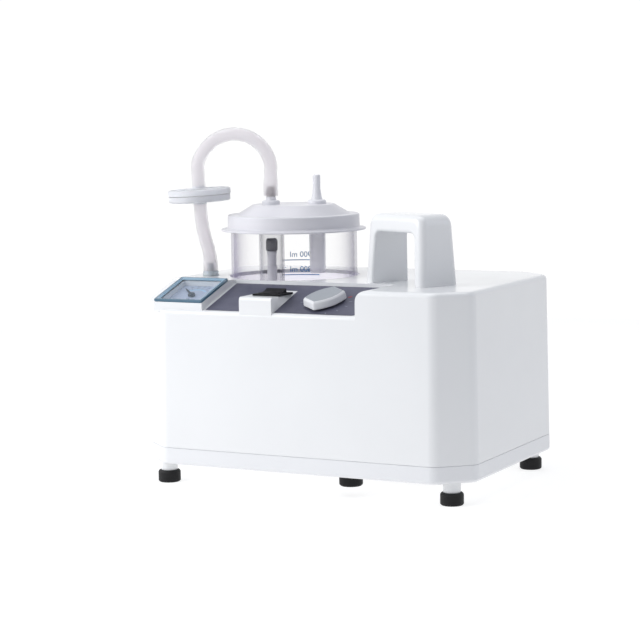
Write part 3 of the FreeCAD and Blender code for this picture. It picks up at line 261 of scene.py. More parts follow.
def noise(tree, scale, detail, roughness=0.5, stretch=(1, 1, 1)):
    """Noise over the object's own place. scale is its number of waves in a millimetre."""
    coordinates = tree.nodes.new("ShaderNodeTexCoord")
    mapping = tree.nodes.new("ShaderNodeMapping")
    mapping.inputs["Scale"].default_value = [1000 * number for number in stretch]
    texture = tree.nodes.new("ShaderNodeTexNoise")
    texture.inputs["Scale"].default_value = scale
    texture.inputs["Detail"].default_value = detail
    texture.inputs["Roughness"].default_value = roughness
    tree.links.new(coordinates.outputs["Object"], mapping.inputs["Vector"])
    tree.links.new(mapping.outputs["Vector"], texture.inputs["Vector"])
    return texture


def spread(tree, source, low, high, target):
    """A noise brought into a range, and led to a shader's input."""
    change = tree.nodes.new("ShaderNodeMapRange")
    change.inputs["From Min"].default_value = NOISE_LOW
    change.inputs["From Max"].default_value = NOISE_HIGH
    change.inputs["To Min"].default_value = low
    change.inputs["To Max"].default_value = high
    tree.links.new(source.outputs["Fac"], change.inputs["Value"])
    tree.links.new(change.outputs["Result"], target)


def tinted(tree, shader, source, colour, darker, lighter):
    """A colour that drifts between two shades of itself, each given as a factor."""
    ramp = tree.nodes.new("ShaderNodeValToRGB")
    for stop, place, factor in zip(ramp.color_ramp.elements, (NOISE_LOW, NOISE_HIGH), (darker, lighter)):
        stop.position = place
        stop.color = (*(min(1.0, channel * factor) for channel in colour), 1)
    tree.links.new(source.outputs["Fac"], ramp.inputs["Fac"])
    tree.links.new(ramp.outputs["Color"], shader.inputs["Base Color"])


def bumped(tree, shader, source, height, strength):
    """Surface relief from a noise, with its height in millimetres."""
    bump = tree.nodes.new("ShaderNodeBump")
    bump.inputs["Distance"].default_value = height * MM
    bump.inputs["Strength"].default_value = strength
    tree.links.new(source.outputs["Fac"], bump.inputs["Height"])
    tree.links.new(bump.outputs["Normal"], shader.inputs["Normal"])


def moulded(name, colour, roughness, grain=0.03, grain_scale=2.2, drift=0.03, coat=0.0, sheen=0.0,
            specular=0.5):
    """Moulded plastic or rubber: a fine spark-eroded grain, uneven gloss and a slow drift of colour."""
    material, tree, shader = blank_material(name)
    tinted(tree, shader, noise(tree, 0.02, 2.0), colour, 1 - drift, 1 + drift)
    fine = noise(tree, grain_scale, 2.0, 0.6)
    cloudy = noise(tree, 0.09, 4.0, 0.6)
    spread(tree, cloudy, roughness * 0.85, roughness * 1.18, shader.inputs["Roughness"])
    bumped(tree, shader, fine, grain, 0.5)
    shader.inputs["Coat Weight"].default_value = coat
    shader.inputs["Coat Roughness"].default_value = 0.12
    shader.inputs["Sheen Weight"].default_value = sheen
    shader.inputs["Specular IOR Level"].default_value = specular
    return material


def clear_surface(tree, shader, colour, roughness, scratched, marks):
    """What clear plastics share: a faint tint, fine upright scratches and soft mould marks."""
    slow = noise(tree, 0.03, 2.0)
    tinted(tree, shader, slow, colour, 0.97, 1.02)
    streaks = noise(tree, 0.5, 5.0, 0.7, (1, 1, 0.08))
    spread(tree, streaks, roughness, scratched, shader.inputs["Roughness"])
    bumped(tree, shader, slow, 0.2, marks)


def clear(name, colour, roughness, ior, weight=1.0, subsurface=0.0, scratches=0.03):
    """Clear or milky plastic that bends the light, with a light haze."""
    material, tree, shader = blank_material(name)
    clear_surface(tree, shader, colour, roughness, roughness + scratches, 0.01)
    shader.inputs["Transmission Weight"].default_value = weight
    shader.inputs["IOR"].default_value = ior
    shader.inputs["Subsurface Weight"].default_value = subsurface
    shader.inputs["Subsurface Radius"].default_value = (0.004, 0.004, 0.005)
    return material


def metal(name, colour, roughness, stretch=(1, 1, 1), scale=1.2):
    """Plated or machined metal, brushed along one way."""
    material, tree, shader = blank_material(name)
    shader.inputs["Metallic"].default_value = 1.0
    lines = noise(tree, scale, 4.0, 0.7, stretch)
    tinted(tree, shader, noise(tree, 0.04, 3.0), colour, 0.88, 1.06)
    spread(tree, lines, roughness * 0.7, roughness * 1.35, shader.inputs["Roughness"])
    bumped(tree, shader, lines, 0.02, 0.25)
    return material


def see_through(name, colour, roughness, middle, edge, narrow=1.5):
    """Thin clear plastic that lets light and shadow through, and shows more where it is seen edge on."""
    material, tree, shader = blank_material(name)
    clear_surface(tree, shader, colour, roughness, roughness * 1.8, 0.05)
    facing = tree.nodes.new("ShaderNodeLayerWeight")
    facing.inputs["Blend"].default_value = 0.5
    power = tree.nodes.new("ShaderNodeMath")
    power.operation = "POWER"
    power.inputs[1].default_value = narrow
    change = tree.nodes.new("ShaderNodeMapRange")
    change.inputs["To Min"].default_value = middle
    change.inputs["To Max"].default_value = edge
    tree.links.new(facing.outputs["Facing"], power.inputs[0])
    tree.links.new(power.outputs[0], change.inputs["Value"])
    tree.links.new(change.outputs["Result"], shader.inputs["Alpha"])
    shader.inputs["Coat Weight"].default_value = 0.6
    shader.inputs["Coat Roughness"].default_value = 0.03
    return material


def glow(material, colour, strength):
    """A little light of its own."""
    shader = material.node_tree.nodes["Principled BSDF"]
    shader.inputs["Emission Color"].default_value = (*colour, 1)
    shader.inputs["Emission Strength"].default_value = strength


GLOSSY = {"grain": 0.002, "grain_scale": 0.6}
WHITE = moulded("white_plastic", (0.80, 0.81, 0.82), 0.36, drift=0.008, coat=0.6, **GLOSSY)
TRAY = moulded("tray_plastic", (0.78, 0.79, 0.81), 0.38, drift=0.01, coat=0.5, **GLOSSY)
FILM = moulded("panel_film", (0.085, 0.088, 0.128), 0.46, grain=0.02, grain_scale=3.0, drift=0.14,
               specular=0.3)
PRINT = moulded("grey_print", (0.26, 0.28, 0.34), 0.5, drift=0.02)
BLUE_PRINT = moulded("blue_print", (0.012, 0.20, 0.52), 0.6, grain=0.003, drift=0.05)
BEZEL = moulded("gauge_frame_plastic", (0.045, 0.125, 0.195), 0.16, grain=0.01, drift=0.06, coat=0.6)
# painted light: the slope round the window gets a paler copy of the frame's own blue
BEZEL_LIT_SLOPE = moulded("gauge_frame_lit_slope", (0.24, 0.38, 0.50), 0.14, grain=0.01, drift=0.08, coat=0.6)
DIAL = moulded("dial_card", (0.33, 0.38, 0.50), 0.5, grain=0.01, drift=0.03)
DIAL_BAND = moulded("dial_band", (0.30, 0.50, 0.68), 0.5, grain=0.01, drift=0.04)
INK = moulded("dial_ink", (0.03, 0.04, 0.07), 0.5, grain=0.01, drift=0.1)
RED_MARK = moulded("red_mark", (0.30, 0.02, 0.03), 0.45, grain=0.01, drift=0.05)
NEEDLE = moulded("needle_lacquer", (0.004, 0.004, 0.007), 0.6, grain=0.005, drift=0.1, specular=0.15)
WINDOW = see_through("gauge_window", (0.45, 0.58, 0.72), 0.05, 0.02, 0.18)
BLACK = moulded("black_plastic", (0.006, 0.006, 0.008), 0.42, grain=0.02, drift=0.25, specular=0.15)
KNOB = moulded("knob_plastic", (0.70, 0.71, 0.73), 0.36, grain=0.01, drift=0.012, coat=0.1)
KNOB_TOP = moulded("knob_inlay", (0.33, 0.355, 0.385), 0.40, grain=0.02, drift=0.02)
LID = moulded("lid_plastic", (0.67, 0.665, 0.70), 0.34, drift=0.015, coat=0.05, **GLOSSY)
PORT_WHITE = moulded("port_plastic", (0.80, 0.80, 0.83), 0.34, drift=0.015, coat=0.1, **GLOSSY)
# painted shade: the barb is darker than the white port it belongs to, for the shade where the hose end
# stretches over it
BARB_SHADE = moulded("barb_painted_shade", (0.28, 0.26, 0.265), 0.5, grain=0.003, drift=0.03, specular=0.3)
WELL = moulded("well_plastic_painted_light", (0.84, 0.83, 0.86), 0.45, grain=0.003, drift=0.01)
glow(WELL, (0.86, 0.84, 0.90), 0.8)     # painted light: the well glows to stand in for the light that the clear jar lets into it
TUBE = see_through("inlet_tube_plastic", (0.80, 0.80, 0.86), 0.34, 0.40, 0.80)
SEAL = moulded("seal_rubber", (0.006, 0.006, 0.007), 0.18, grain=0.005, drift=0.2, coat=0.5)
RUBBER = moulded("black_rubber", (0.008, 0.008, 0.009), 0.55, grain=0.06, grain_scale=1.4, drift=0.3,
                 sheen=0.03, specular=0.22)
# partly painted shade: the dark purple, shown fully where the wall is seen edge on, stands in for the dark
# edges that refraction gives the curved wall; the faint lavender tint is the plastic's own
JAR = see_through("jar_polycarbonate_edge_shade", (0.20, 0.17, 0.31), 0.05, 0.015, 1.0, 3.2)
JAR_FLOOR = see_through("jar_floor", (0.62, 0.61, 0.70), 0.05, 0.05, 0.40)
CAGE = see_through("cage_plastic", (0.44, 0.44, 0.50), 0.20, 0.10, 0.75, 2.0)
FLOAT = moulded("float_plastic", (0.74, 0.74, 0.78), 0.32, grain=0.01, drift=0.02)
SILICONE = clear("silicone", (0.90, 0.885, 0.905), 0.34, 1.27, 0.84, scratches=0.08)
FILTER = clear("filter_shell", (0.93, 0.94, 0.97), 0.30, 1.25, 0.55)
MEMBRANE = moulded("membrane_cloth", (0.80, 0.80, 0.79), 0.85, grain=0.08, grain_scale=4.0, drift=0.03,
                   sheen=0.3)
NIPPLE = clear("nipple_plastic", (0.70, 0.76, 0.80), 0.2, 1.45, 0.5, subsurface=0.1)
STEEL = metal("zinc_steel", (0.62, 0.62, 0.60), 0.30)
BRASS = metal("brass", (0.72, 0.52, 0.24), 0.28)
ALUMINIUM = metal("cast_aluminium", (0.66, 0.67, 0.68), 0.45, scale=0.6)
COPPER = metal("coil_copper", (0.60, 0.26, 0.12), 0.35, (1, 1, 4), 0.9)
BOARD = moulded("circuit_board", (0.02, 0.14, 0.06), 0.35, drift=0.15, coat=0.4)
PARTS = moulded("board_components", (0.03, 0.06, 0.22), 0.35, drift=0.1, coat=0.3)
WIRE = moulded("wire_insulation", (0.35, 0.02, 0.015), 0.4, drift=0.08)
FUSE_GLASS = clear("fuse_glass", (0.92, 0.95, 0.93), 0.02, 1.5)

CAD_MATERIALS = {
    "upper_cover": WHITE, "base_tray": TRAY, "carry_handle": WHITE, "foot_legs": WHITE, "rubber_feet": RUBBER,
    "foot_screws": STEEL, "case_screws": STEEL, "base_bumper": RUBBER,
    "control_panel_skin": FILM, "gauge_bezel": BEZEL, "gauge_lens": WINDOW, "gauge_dial": DIAL,
    "gauge_needle": NEEDLE, "gauge_can": STEEL, "bourdon_tube": BRASS,
    "switch_housing": BLACK, "switch_rocker": BLACK,
    "regulator_knob": KNOB, "regulator_stem": BRASS, "regulator_valve": BRASS,
    "collection_jar": JAR, "jar_well": WELL, "jar_lid": LID, "lid_gasket": RUBBER,
    "vacuum_port": PORT_WHITE, "patient_port": PORT_WHITE, "inlet_tube": TUBE,
    "float_cage": CAGE, "float_body": FLOAT, "float_seal": SEAL,
    "hose_lid_to_filter": SILICONE, "hose_filter_to_body": SILICONE, "inlet_nipple": NIPPLE,
    "filter_top": FILTER, "filter_bottom": FILTER, "filter_membrane": MEMBRANE,
    "pump_plate": STEEL, "rubber_mounts": RUBBER, "pump_cylinder": ALUMINIUM, "pump_head": ALUMINIUM,
    "valve_plate": STEEL, "pump_bolts": STEEL, "pump_piston": ALUMINIUM, "pump_armature": STEEL,
    "magnet_cores": STEEL, "drive_coils": COPPER, "return_spring": STEEL, "rear_stop": STEEL,
    "fan_frame": BLACK, "fan_rotor": BLACK,
    "power_inlet": BLACK, "inlet_pins": BRASS, "fuse_drawer": BLACK, "fuses": FUSE_GLASS,
    "control_board": BOARD, "board_parts": PARTS,
    "manifold": BLACK, "internal_hoses": SILICONE, "wiring": WIRE, "exhaust_muffler": BLACK,
}


# ---------------------------------------------------------------- hoses, which come before the other pieces

LATERAL = Vector((0.889, 0.458, 0))     # across the photographer's view
DEPTH = Vector((-0.458, 0.889, 0))      # away from the photographer


def plumb_point(across, depth, height):
    """A point of the hose line, which hangs in one upright plane through the vacuum port and the filter."""
    return (LATERAL * across + DEPTH * depth + Vector((0, 0, height))) * MM


PORT = centre_of("vacuum_port")
PORT_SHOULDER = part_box("vacuum_port")[1].z - 7.9 * MM
HOSE_RADIUS, HOSE_BORE = 5.3, 3.3
UPPER_ROUTE = [Vector((PORT.x, PORT.y, PORT_SHOULDER)), Vector((PORT.x, PORT.y, PORT_SHOULDER + 15 * MM))]
UPPER_ROUTE += [plumb_point(*spot) for spot in (
    (-60.9, 37, 250.9), (-71.8, 37.2, 266.4), (-90, 37.8, 272.3), (-108.2, 38.7, 266.4),
    (-119.7, 39.3, 250.9), (-119.75, 39.5, 240.3), (-119.2, 39.5, 229.8))]
LOWER_ROUTE = [plumb_point(*spot) for spot in (
    (-118.4, 39.5, 214.8), (-117.75, 39.5, 202.3), (-115.2, 39.5, 188), (-111, 39.6, 175.5),
    (-111, 39.6, 161.5))]


def route_points(name, route):
    """The points of a smooth line over a route, and its length."""
    data = bpy.data.curves.new(name + "_line", "CURVE")
    data.dimensions = "3D"
    data.resolution_u = 16
    spline = data.splines.new("NURBS")
    spline.points.add(len(route) - 1)
    for point, place in zip(spline.points, route):
        point.co = (*place, 1)
    spline.order_u = 3
    spline.use_endpoint_u = True
    line = bpy.data.objects.new(name + "_line", data)
    mesh = bpy.data.meshes.new_from_object(line)
    points = [vertex.co.copy() for vertex in mesh.vertices]
    bpy.data.objects.remove(line)
    length = sum((b - a).length for a, b in zip(points, points[1:]))
    return points, length


FLARE_FADE = 6.0        # how far past a fitting a hose takes to come back to its own size


def stretch(flares, travelled, length):
    """How much a fitting stretches the hose at a place. flares are (end, reach, extra radius)."""
    extra = 0.0
    for end, reach, swell in flares:
        gone = travelled if end == "start" else length - travelled
        past = max(0.0, gone / MM - reach)
        extra += swell * max(0.0, 1 - past / FLARE_FADE) ** 2
    return extra


def hose_tube(points, length, flares, sides=40):
    """A thick-walled tube along points, stretched over the fittings at its ends."""
    bm = bmesh.new()
    side = (points[1] - points[0]).normalized().orthogonal().normalized()
    travelled, rings = 0.0, []
    for i, point in enumerate(points):
        ahead = (points[min(i + 1, len(points) - 1)] - points[max(i - 1, 0)]).normalized()
        side = (side - ahead * side.dot(ahead)).normalized()
        up = ahead.cross(side)
        if i:
            travelled += (point - points[i - 1]).length
        extra = stretch(flares, travelled, length)
        around = [side * math.cos(turn) + up * math.sin(turn)
                  for turn in (2 * math.pi * k / sides for k in range(sides))]
        rings.append([[bm.verts.new(point + way * (radius + extra) * MM) for way in around]
                      for radius in (HOSE_RADIUS, HOSE_BORE)])
    walls = [(near[wall], far[wall]) for near, far in zip(rings, rings[1:]) for wall in (0, 1)]
    for near, far in [*walls, rings[0], rings[-1]]:
        joined(bm, near, far)
    return bm


FILTER_TILT = 3.0                       # in degrees
FILTER_RADIUS, FILTER_HALF, FILTER_NECK = 25.3, 5.2, 7.5
RIB_COUNT = 12


def filter_shell(name, node, side, rim, seam, tilt):
    """One half of the filter: a stepped disc with a short neck. side is 1 above and -1 below."""
    profile = [(2, 3.6), (rim - 3, 3.6), (rim - 3, seam), (rim, seam), (rim, FILTER_HALF - 0.8),
               (rim - 1.4, FILTER_HALF), (8, FILTER_HALF), (5.4, FILTER_HALF + 0.8), (5.3, FILTER_NECK),
               (2, FILTER_NECK)]
    profile = rounded([(radius, side * height) for radius, height in profile],
                      [0, 0.3, 0.3, 0.3, 0.5, 0.8, 1.0, 0.6, 0.2, 0], 4, True)
    bm = turned(profile, (0, 0), 96, True)
    bm.transform(tilt)
    shell = piece(name, bm, "lid", FILTER, [node])
    flat_faces(shell)
    return shell


def make_filter():
    """The disc filter between the hoses, with a stepped rim and ribs on both faces."""
    middle = (UPPER_ROUTE[-1] + LOWER_ROUTE[0]) / 2
    tilt = Matrix.Translation(middle) @ Matrix.Rotation(math.radians(-FILTER_TILT), 4, DEPTH)
    upper = filter_shell("filter_upper_shell", "filter_top", 1, FILTER_RADIUS, 0.4, tilt)
    lower = filter_shell("filter_lower_shell", "filter_bottom", -1, FILTER_RADIUS - 0.6, 0, tilt)
    rib = rectangle(8.5, -0.4, 21.5, 0.4)
    bm = bmesh.new()
    for side in (-1, 1):
        levels = [(side * (FILTER_HALF - 0.2), 0), (side * (FILTER_HALF + 0.3), 0.1)]
        for i in range(RIB_COUNT):
            turn = Matrix.Rotation(2 * math.pi * i / RIB_COUNT, 4, "Z")
            stacked(bm, rib, levels, lambda spot, turn=turn: turn @ spot)
    bm.transform(tilt)
    return [upper, lower, piece("filter_ribs", bm, "lid", FILTER)]


def hose(name, node, route, flares):
    """A hose piece along its route, and the points that it follows."""
    points, length = route_points(node, route)
    tube = hose_tube(points, length, flares)
    return piece(name, tube, "lid", SILICONE, [node], 40), points


def make_hoses():
    """The two hoses of the vacuum line. The filter hangs on the upper one, and the lower one is a stub."""
    upper, upper_points = hose("upper_hose", "hose_lid_to_filter", UPPER_ROUTE, [("start", 11, 0.55)])
    lower, _ = hose("lower_hose", "hose_filter_to_body", LOWER_ROUTE, [("end", 7, 0.55)])
    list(make_filter())


make_hoses()


# ---------------------------------------------------------------- housing and CAD nodes


def softened_copy(name, node, material, groups):
    """A housing part taken from its CAD node, with its flats made whole and its outer edges rounded.

    Each group is a test on a corner in millimetres, and the width of the rounding."""
    weld, flat, sharp = 0.07 * MM, math.radians(0.6), math.radians(32)
    bm = bmesh.new()
    bm.from_mesh(NODES[node].data)
    bmesh.ops.remove_doubles(bm, verts=bm.verts, dist=weld)
    bmesh.ops.dissolve_limit(bm, angle_limit=flat, verts=bm.verts, edges=bm.edges)
    for wanted, width in groups:
        edges = [edge for edge in bm.edges if len(edge.link_faces) == 2
                 and edge.calc_face_angle_signed() > sharp
                 and all(wanted(vertex.co / MM) for vertex in edge.verts)]
        bmesh.ops.bevel(bm, geom=edges, offset=width * MM, offset_type="OFFSET", segments=4, profile=0.5,
                        affect="EDGES", clamp_overlap=True)
    mesh = bpy.data.meshes.new(name)
    bm.to_mesh(mesh)
    bm.free()
    flat_faces(piece(name, mesh, "housing", material, [node], 28))


TOP_FACE = low_corner("carry_handle").z         # the housing's flat top, which the handle stands on
SWITCH_LEFT, SWITCH_RIGHT = -45.85, -18.15      # the sides of the block that the switch stands on
RECESS_REAR, LEDGE = -42, 139                   # where the panel's recess ends, and just over its front ledge


def make_housing():
    """The two halves of the housing, with soft edges where the photograph shows them."""
    gauge_left, gauge_right = low_corner("gauge_bezel").x, high_corner("gauge_bezel").x
    recess_wall = high_corner("control_panel_skin").x + 0.4

    def near(value, *places):
        return any(abs(value - place) < 0.15 for place in places)

    groups = [
        # the switch's block
        (lambda spot: near(spot.x, SWITCH_LEFT, SWITCH_RIGHT) and spot.y < -54.5 and spot.z > 135, 1.3),
        # the gauge's wedge
        (lambda spot: near(spot.x, gauge_left, gauge_right) and spot.y < -50 and spot.z > LEDGE, 0.7),
        # the top's edge behind the panel
        (lambda spot: near(spot.y, RECESS_REAR) and near(spot.z, TOP_FACE), 0.7),
        # the front corner of the wall at the panel's right end
        (lambda spot: -0.2 < spot.x - recess_wall < 9 and spot.y < -93 and spot.z > LEDGE, 1.6),
        # the vents at the back
        (lambda spot: spot.y > 90 and 48 < spot.z < 104 and spot.x > 40, 0.35),
    ]
    softened_copy("housing_cover", "upper_cover", WHITE, groups)
    softened_copy("housing_tray", "base_tray", TRAY, [])
    seam_lip()


def seam_lip():
    """The tray's lip, which stands behind the seam and keeps it from looking like a black slot."""
    corner = high_corner("base_tray")
    half_x, half_y, corner_x, corner_y = corner.x, corner.y, 25, 22
    outline = rounded([(half_x - corner_x, -half_y), (half_x, corner_y - half_y), (half_x, half_y - corner_y),
                       (half_x - corner_x, half_y), (corner_x - half_x, half_y), (-half_x, half_y - corner_y),
                       (-half_x, corner_y - half_y), (corner_x - half_x, -half_y)], 12, 6, True)
    bottom, top, outside, inside = 29.8, 30.8, 0.7, 2.4
    bm = bmesh.new()
    stacked(bm, outline, [(bottom, outside), (top, outside), (top, inside), (bottom, inside)],
            lambda spot: spot, caps=False)
    piece("seam_lip", bm, "housing", TRAY)


SOFT_EDGES = {
    "switch_housing": 0.5, "switch_rocker": 0.4, "power_inlet": 0.5, "fuse_drawer": 0.4, "inlet_pins": 0.25,
    "fan_frame": 0.5, "foot_legs": 0.3, "pump_head": 0.6, "pump_cylinder": 0.6, "magnet_cores": 0.5,
    "manifold": 0.6,
}


def dress_cad_nodes():
    """Every CAD node gets its material, and some get soft edges."""
    for name, thing in NODES.items():
        thing.data.materials.clear()
        thing.data.materials.append(CAD_MATERIALS[name])
        clean_cad(thing, SOFT_EDGES.get(name, 0.0))


dress_cad_nodes()
make_housing()


# ---------------------------------------------------------------- jar, lid and float

JAR_CENTRE = centre_of("collection_jar")
JAR_LOW, JAR_HIGH = low_corner("collection_jar").z, high_corner("collection_jar").z
LID_LOW, CROWN = low_corner("jar_lid").z, high_corner("jar_lid").z
PATIENT = centre_of("patient_port")
SKIRT_TOP = CROWN - 7.8
SKIRT_RADIUS, CONE_RADIUS, CROWN_RADIUS = 52.9, 45.8, 33.0
PRINT_BEARING = 112                     # which way the jar's printed scale faces
LINE_COUNT, NUMBER_COUNT = 18, 9


def radius_of(node):
    """Half the width of a round upright node, in millimetres."""
    return (high_corner(node).x - low_corner(node).x) / 2


JAR_RADIUS, FLANGE_RADIUS = radius_of("collection_jar"), radius_of("jar_lid")


def raised(base, points):
    """Points of radius and height, with their heights counted from a base."""
    return [(radius, base + height) for radius, height in points]


def lathed(name, profile, centre, segments, body, material, slot, *replaced, closed=False):
    """A finished piece turned about an upright line."""
    flat_faces(piece(name, turned(profile, centre, segments, closed), body, material, replaced))


def make_jar():
    """The clear jar, with its floor as a piece of its own and a printed scale."""
    wall_thickness, floor_gap = 2.2, 0.02
    inner = JAR_RADIUS - wall_thickness
    wall = [(inner - 4, JAR_LOW), (JAR_RADIUS - 3, JAR_LOW), (JAR_RADIUS, JAR_LOW + 3.5),
            (JAR_RADIUS, JAR_HIGH), (inner, JAR_HIGH), (inner, JAR_LOW + 3), (inner - 4, JAR_LOW + 3)]
    lathed("jar", rounded(wall, [0, 2.5, 2.5, 0.8, 0.8, 5, 0], 6, True), JAR_CENTRE, 128, "jar", JAR,
           "clear_jar", "collection_jar", closed=True)
    rim = inner - 4 - floor_gap
    floor = raised(JAR_LOW, [(0, 0.8), (30, 0.8), (31, 0), (rim, 0), (rim, 3), (0, 3)])
    lathed("jar_floor", rounded(floor, [0, 0.6, 0.6, 0, 0, 0], 4), JAR_CENTRE, 128, "jar", JAR_FLOOR,
           "clear_jar")
    graduations()


def graduations():
    """Level lines and their numbers, printed on the far side of the jar's outside."""
    bm = bmesh.new()
    spacing = (JAR_HIGH - JAR_LOW - 30) / 10        # from one number to the next
    for i in range(1, LINE_COUNT + 1):
        start, tall = (-16, 0.7) if i % 2 == 0 else (12.4, 0.45)
        curved_strip(bm, start, 16, JAR_LOW + 6 + i * spacing / 2, tall)
    piece("jar_graduations", bm, "jar", BLUE_PRINT)
    for i in range(1, NUMBER_COUNT + 1):
        number = text_mesh(f"jar_number{i}", f"{i * 100} ml", 6.6, 0.08)
        wrap_on_jar(number, JAR_LOW + 10.8 + i * spacing)
        piece(f"jar_number{i}", number, "jar", BLUE_PRINT, smooth=0)


def on_jar(turn, lift, height):
    """A place on the jar's outside, at an angle from the middle of the print."""
    angle, radius = math.radians(PRINT_BEARING) + turn, (JAR_RADIUS + lift) * MM
    return Vector((JAR_CENTRE.x + radius * math.cos(angle), JAR_CENTRE.y + radius * math.sin(angle),
                   height * MM))


def curved_strip(bm, start, end, height, tall):
    """A thin printed strip on the jar's outside, from start to end millimetres round."""
    lift = 0.06
    count = max(2, int((end - start) / 1.5))
    turns = [(start + (end - start) * i / count) / (JAR_RADIUS + lift) for i in range(count + 1)]
    low, high = ([bm.verts.new(on_jar(turn, lift, z)) for turn in turns] for z in (height, height + tall))
    for i in range(count):
        bm.faces.new((low[i], low[i + 1], high[i + 1], high[i]))


def text_mesh(name, words, size, thickness):
    data = bpy.data.curves.new(name + "_text", "FONT")
    data.body = words
    data.size = size
    data.extrude = thickness / 2
    data.align_x, data.align_y = "CENTER", "CENTER"
    data.resolution_u = 4
    holder = bpy.data.objects.new(name + "_text", data)
    mesh = bpy.data.meshes.new_from_object(holder)
    mesh.materials.clear()
    bpy.data.objects.remove(holder)
    return mesh


def wrap_on_jar(mesh, height):
    """Bends flat lettering round the jar's outside, to be read from outside."""
    lift = 0.08
    for vertex in mesh.vertices:
        x, y, z = vertex.co
        vertex.co = on_jar(x / (JAR_RADIUS + lift), lift + z, height + y)


def make_lid():
    """The stepped lid and its two ports. The vacuum port's barb goes into the hose, and is darker than the
    port as painted shade for the hose end over it.
    """
    inside = JAR_RADIUS + 0.4
    shell = [(0, CROWN - 2.2), (CROWN_RADIUS - 1, CROWN - 2.2), (CONE_RADIUS - 1.2, SKIRT_TOP - 2),
             (inside, SKIRT_TOP - 2), (inside, LID_LOW), (FLANGE_RADIUS, LID_LOW),
             (FLANGE_RADIUS, LID_LOW + 1.4), (SKIRT_RADIUS + 0.2, LID_LOW + 2.2), (SKIRT_RADIUS, SKIRT_TOP),
             (CONE_RADIUS, SKIRT_TOP), (CROWN_RADIUS, CROWN), (0, CROWN)]
    lathed("lid", rounded(shell, [0, 0.8, 0.8, 0.8, 0.5, 0.6, 0.6, 1.2, 1.3, 0.8, 2.0, 0]), JAR_CENTRE, 128,
           "lid", LID, "lid_plastic", "jar_lid")
    collar = raised(CROWN, [(1.6, -4.2), (4, -4.2), (4, -0.6), (7.2, -0.6), (7.2, 2.6), (6.2, 3.2),
                            (4.3, 3.2), (4.1, 6.2), (1.6, 6.2)])
    lathed("lid_vacuum_port", rounded(collar, 0.35, 3, True), PORT, 64, "lid", PORT_WHITE, "lid_plastic",
           "vacuum_port", closed=True)
    barb = raised(CROWN, [(1.6, 6.25), (3.9, 6.25), (3.3, 6.8), (3.9, 9.2), (3.3, 9.4), (3.8, 11.8),
                          (3.2, 12), (2.7, 14.4), (1.6, 14.4)])
    # the barb's dark tone is painted shade for the hose end stretched over it
    piece("lid_vacuum_barb", turned(rounded(barb, 0.15, 3, True), PORT, 64, True), "lid", BARB_SHADE)
    spout = raised(CROWN, [(2, -4.2), (4, -4.2), (4, -0.6), (7.5, -0.6), (7.5, 2.2), (6.6, 3.2), (4.7, 3.2),
                           (4.0, 6), (3.1, 12), (3.1, 22.6), (2.7, 23.2), (2, 23.2)])
    lathed("lid_patient_port", rounded(spout, 0.4, 3, True), PATIENT, 64, "lid", PORT_WHITE, "lid_plastic",
           "patient_port", closed=True)


def make_float():
    """The overflow float in its cage under the vacuum port, and the tube under the patient port."""
    low, top = low_corner("float_cage").z, high_corner("float_cage").z
    outer = radius_of("float_cage")
    inner = outer - 1.2
    cage = [(inner, top), (outer, top), (outer, low), (2.4, low), (2.4, low + 1.4), (inner, low + 1.4)]
    lathed("float_cage_tube", rounded(cage, [0.2, 0.2, 1.0, 0.4, 0.4, 0.8], 4, True), PORT, 72, "lid", CAGE,
           "cage_plastic", "float_cage", closed=True)
    low, top = low_corner("float_body").z, high_corner("float_body").z
    stem = [(0, low), (4, low), (4, top - 12), (3.6, top - 11), (3.6, top - 3), (4, top - 2), (4, top),
            (0, top)]
    lathed("float_stem", rounded(stem, [0, 1, 0.3, 0.3, 0.3, 0.3, 0.2, 0], 4), PORT, 48, "float", FLOAT,
           "float_plastic", "float_body")
    low, top = low_corner("float_seal").z, high_corner("float_seal").z
    cap = [(0, low), (4, low), (4.8, low + 1.6), (4.8, top - 2.2), (3.6, top), (0, top)]
    lathed("float_cap", rounded(cap, [0, 0.6, 0.6, 1.0, 1.0, 0], 4), PORT, 48, "float", SEAL, "soft_rubber",
           "float_seal")
    low, top = low_corner("inlet_tube").z, high_corner("inlet_tube").z
    tube = [(5.2, low), (6.3, low), (6.9, top), (5.8, top)]
    lathed("lid_inlet_tube", rounded(tube, 0.3, 3, True), PATIENT, 64, "lid", TUBE, "lid_plastic",
           "inlet_tube", closed=True)


make_jar()
make_lid()
make_float()


# ---------------------------------------------------------------- nipple


def make_nipple():
    """The nipple on the housing's top, which the lower hose stands on."""
    hose_end = LOWER_ROUTE[-1].z / MM
    profile = raised(TOP_FACE, [(1.6, -15), (3.2, -15), (3.2, -6), (5, -6), (5, -3), (3.5, -3), (3.5, 0),
                                (6.6, 0)])
    profile += raised(hose_end, [(6.2, -0.9), (5.6, 0), (2.9, 0), (2.9, 5), (2.3, 6), (1.6, 6)])
    lathed("hose_nipple", rounded(profile, 0.3, 3, True), centre_of("inlet_nipple"), 64, "housing", NIPPLE,
           "cage_plastic", "inlet_nipple", closed=True)


make_nipple()


# ---------------------------------------------------------------- control panel

JOINTS = {joint["name"]: joint for joint in frame["joints"]}
SLOPE_UP = Vector(JOINTS["regulator_turn"]["axis"])
SLOPE_ALONG = Vector((0, SLOPE_UP.z, -SLOPE_UP.y))
FILM_GAP = 0.3                          # between the film and the switch's block
ZERO_BEARING, FULL_BEARING = 135, 45    # the dial's ends
DIAL_STEPS = 10


def on_slope(origin):
    """Gives the place of X, the way up the panel's slope and the height off it, in millimetres."""
    def to_place(spot):
        return Vector(origin) / MM + Vector((1, 0, 0)) * spot.x + SLOPE_ALONG * spot.y + SLOPE_UP * spot.z
    return to_place


def stack_piece(name, outline, levels, to_place, body, material, slot, *replaced, caps=True, smooth=30.0):
    """A piece made of one outline at several levels."""
    bm = bmesh.new()
    stacked(bm, outline, levels, to_place, caps)
    return piece(name, bm, body, material, replaced, smooth)


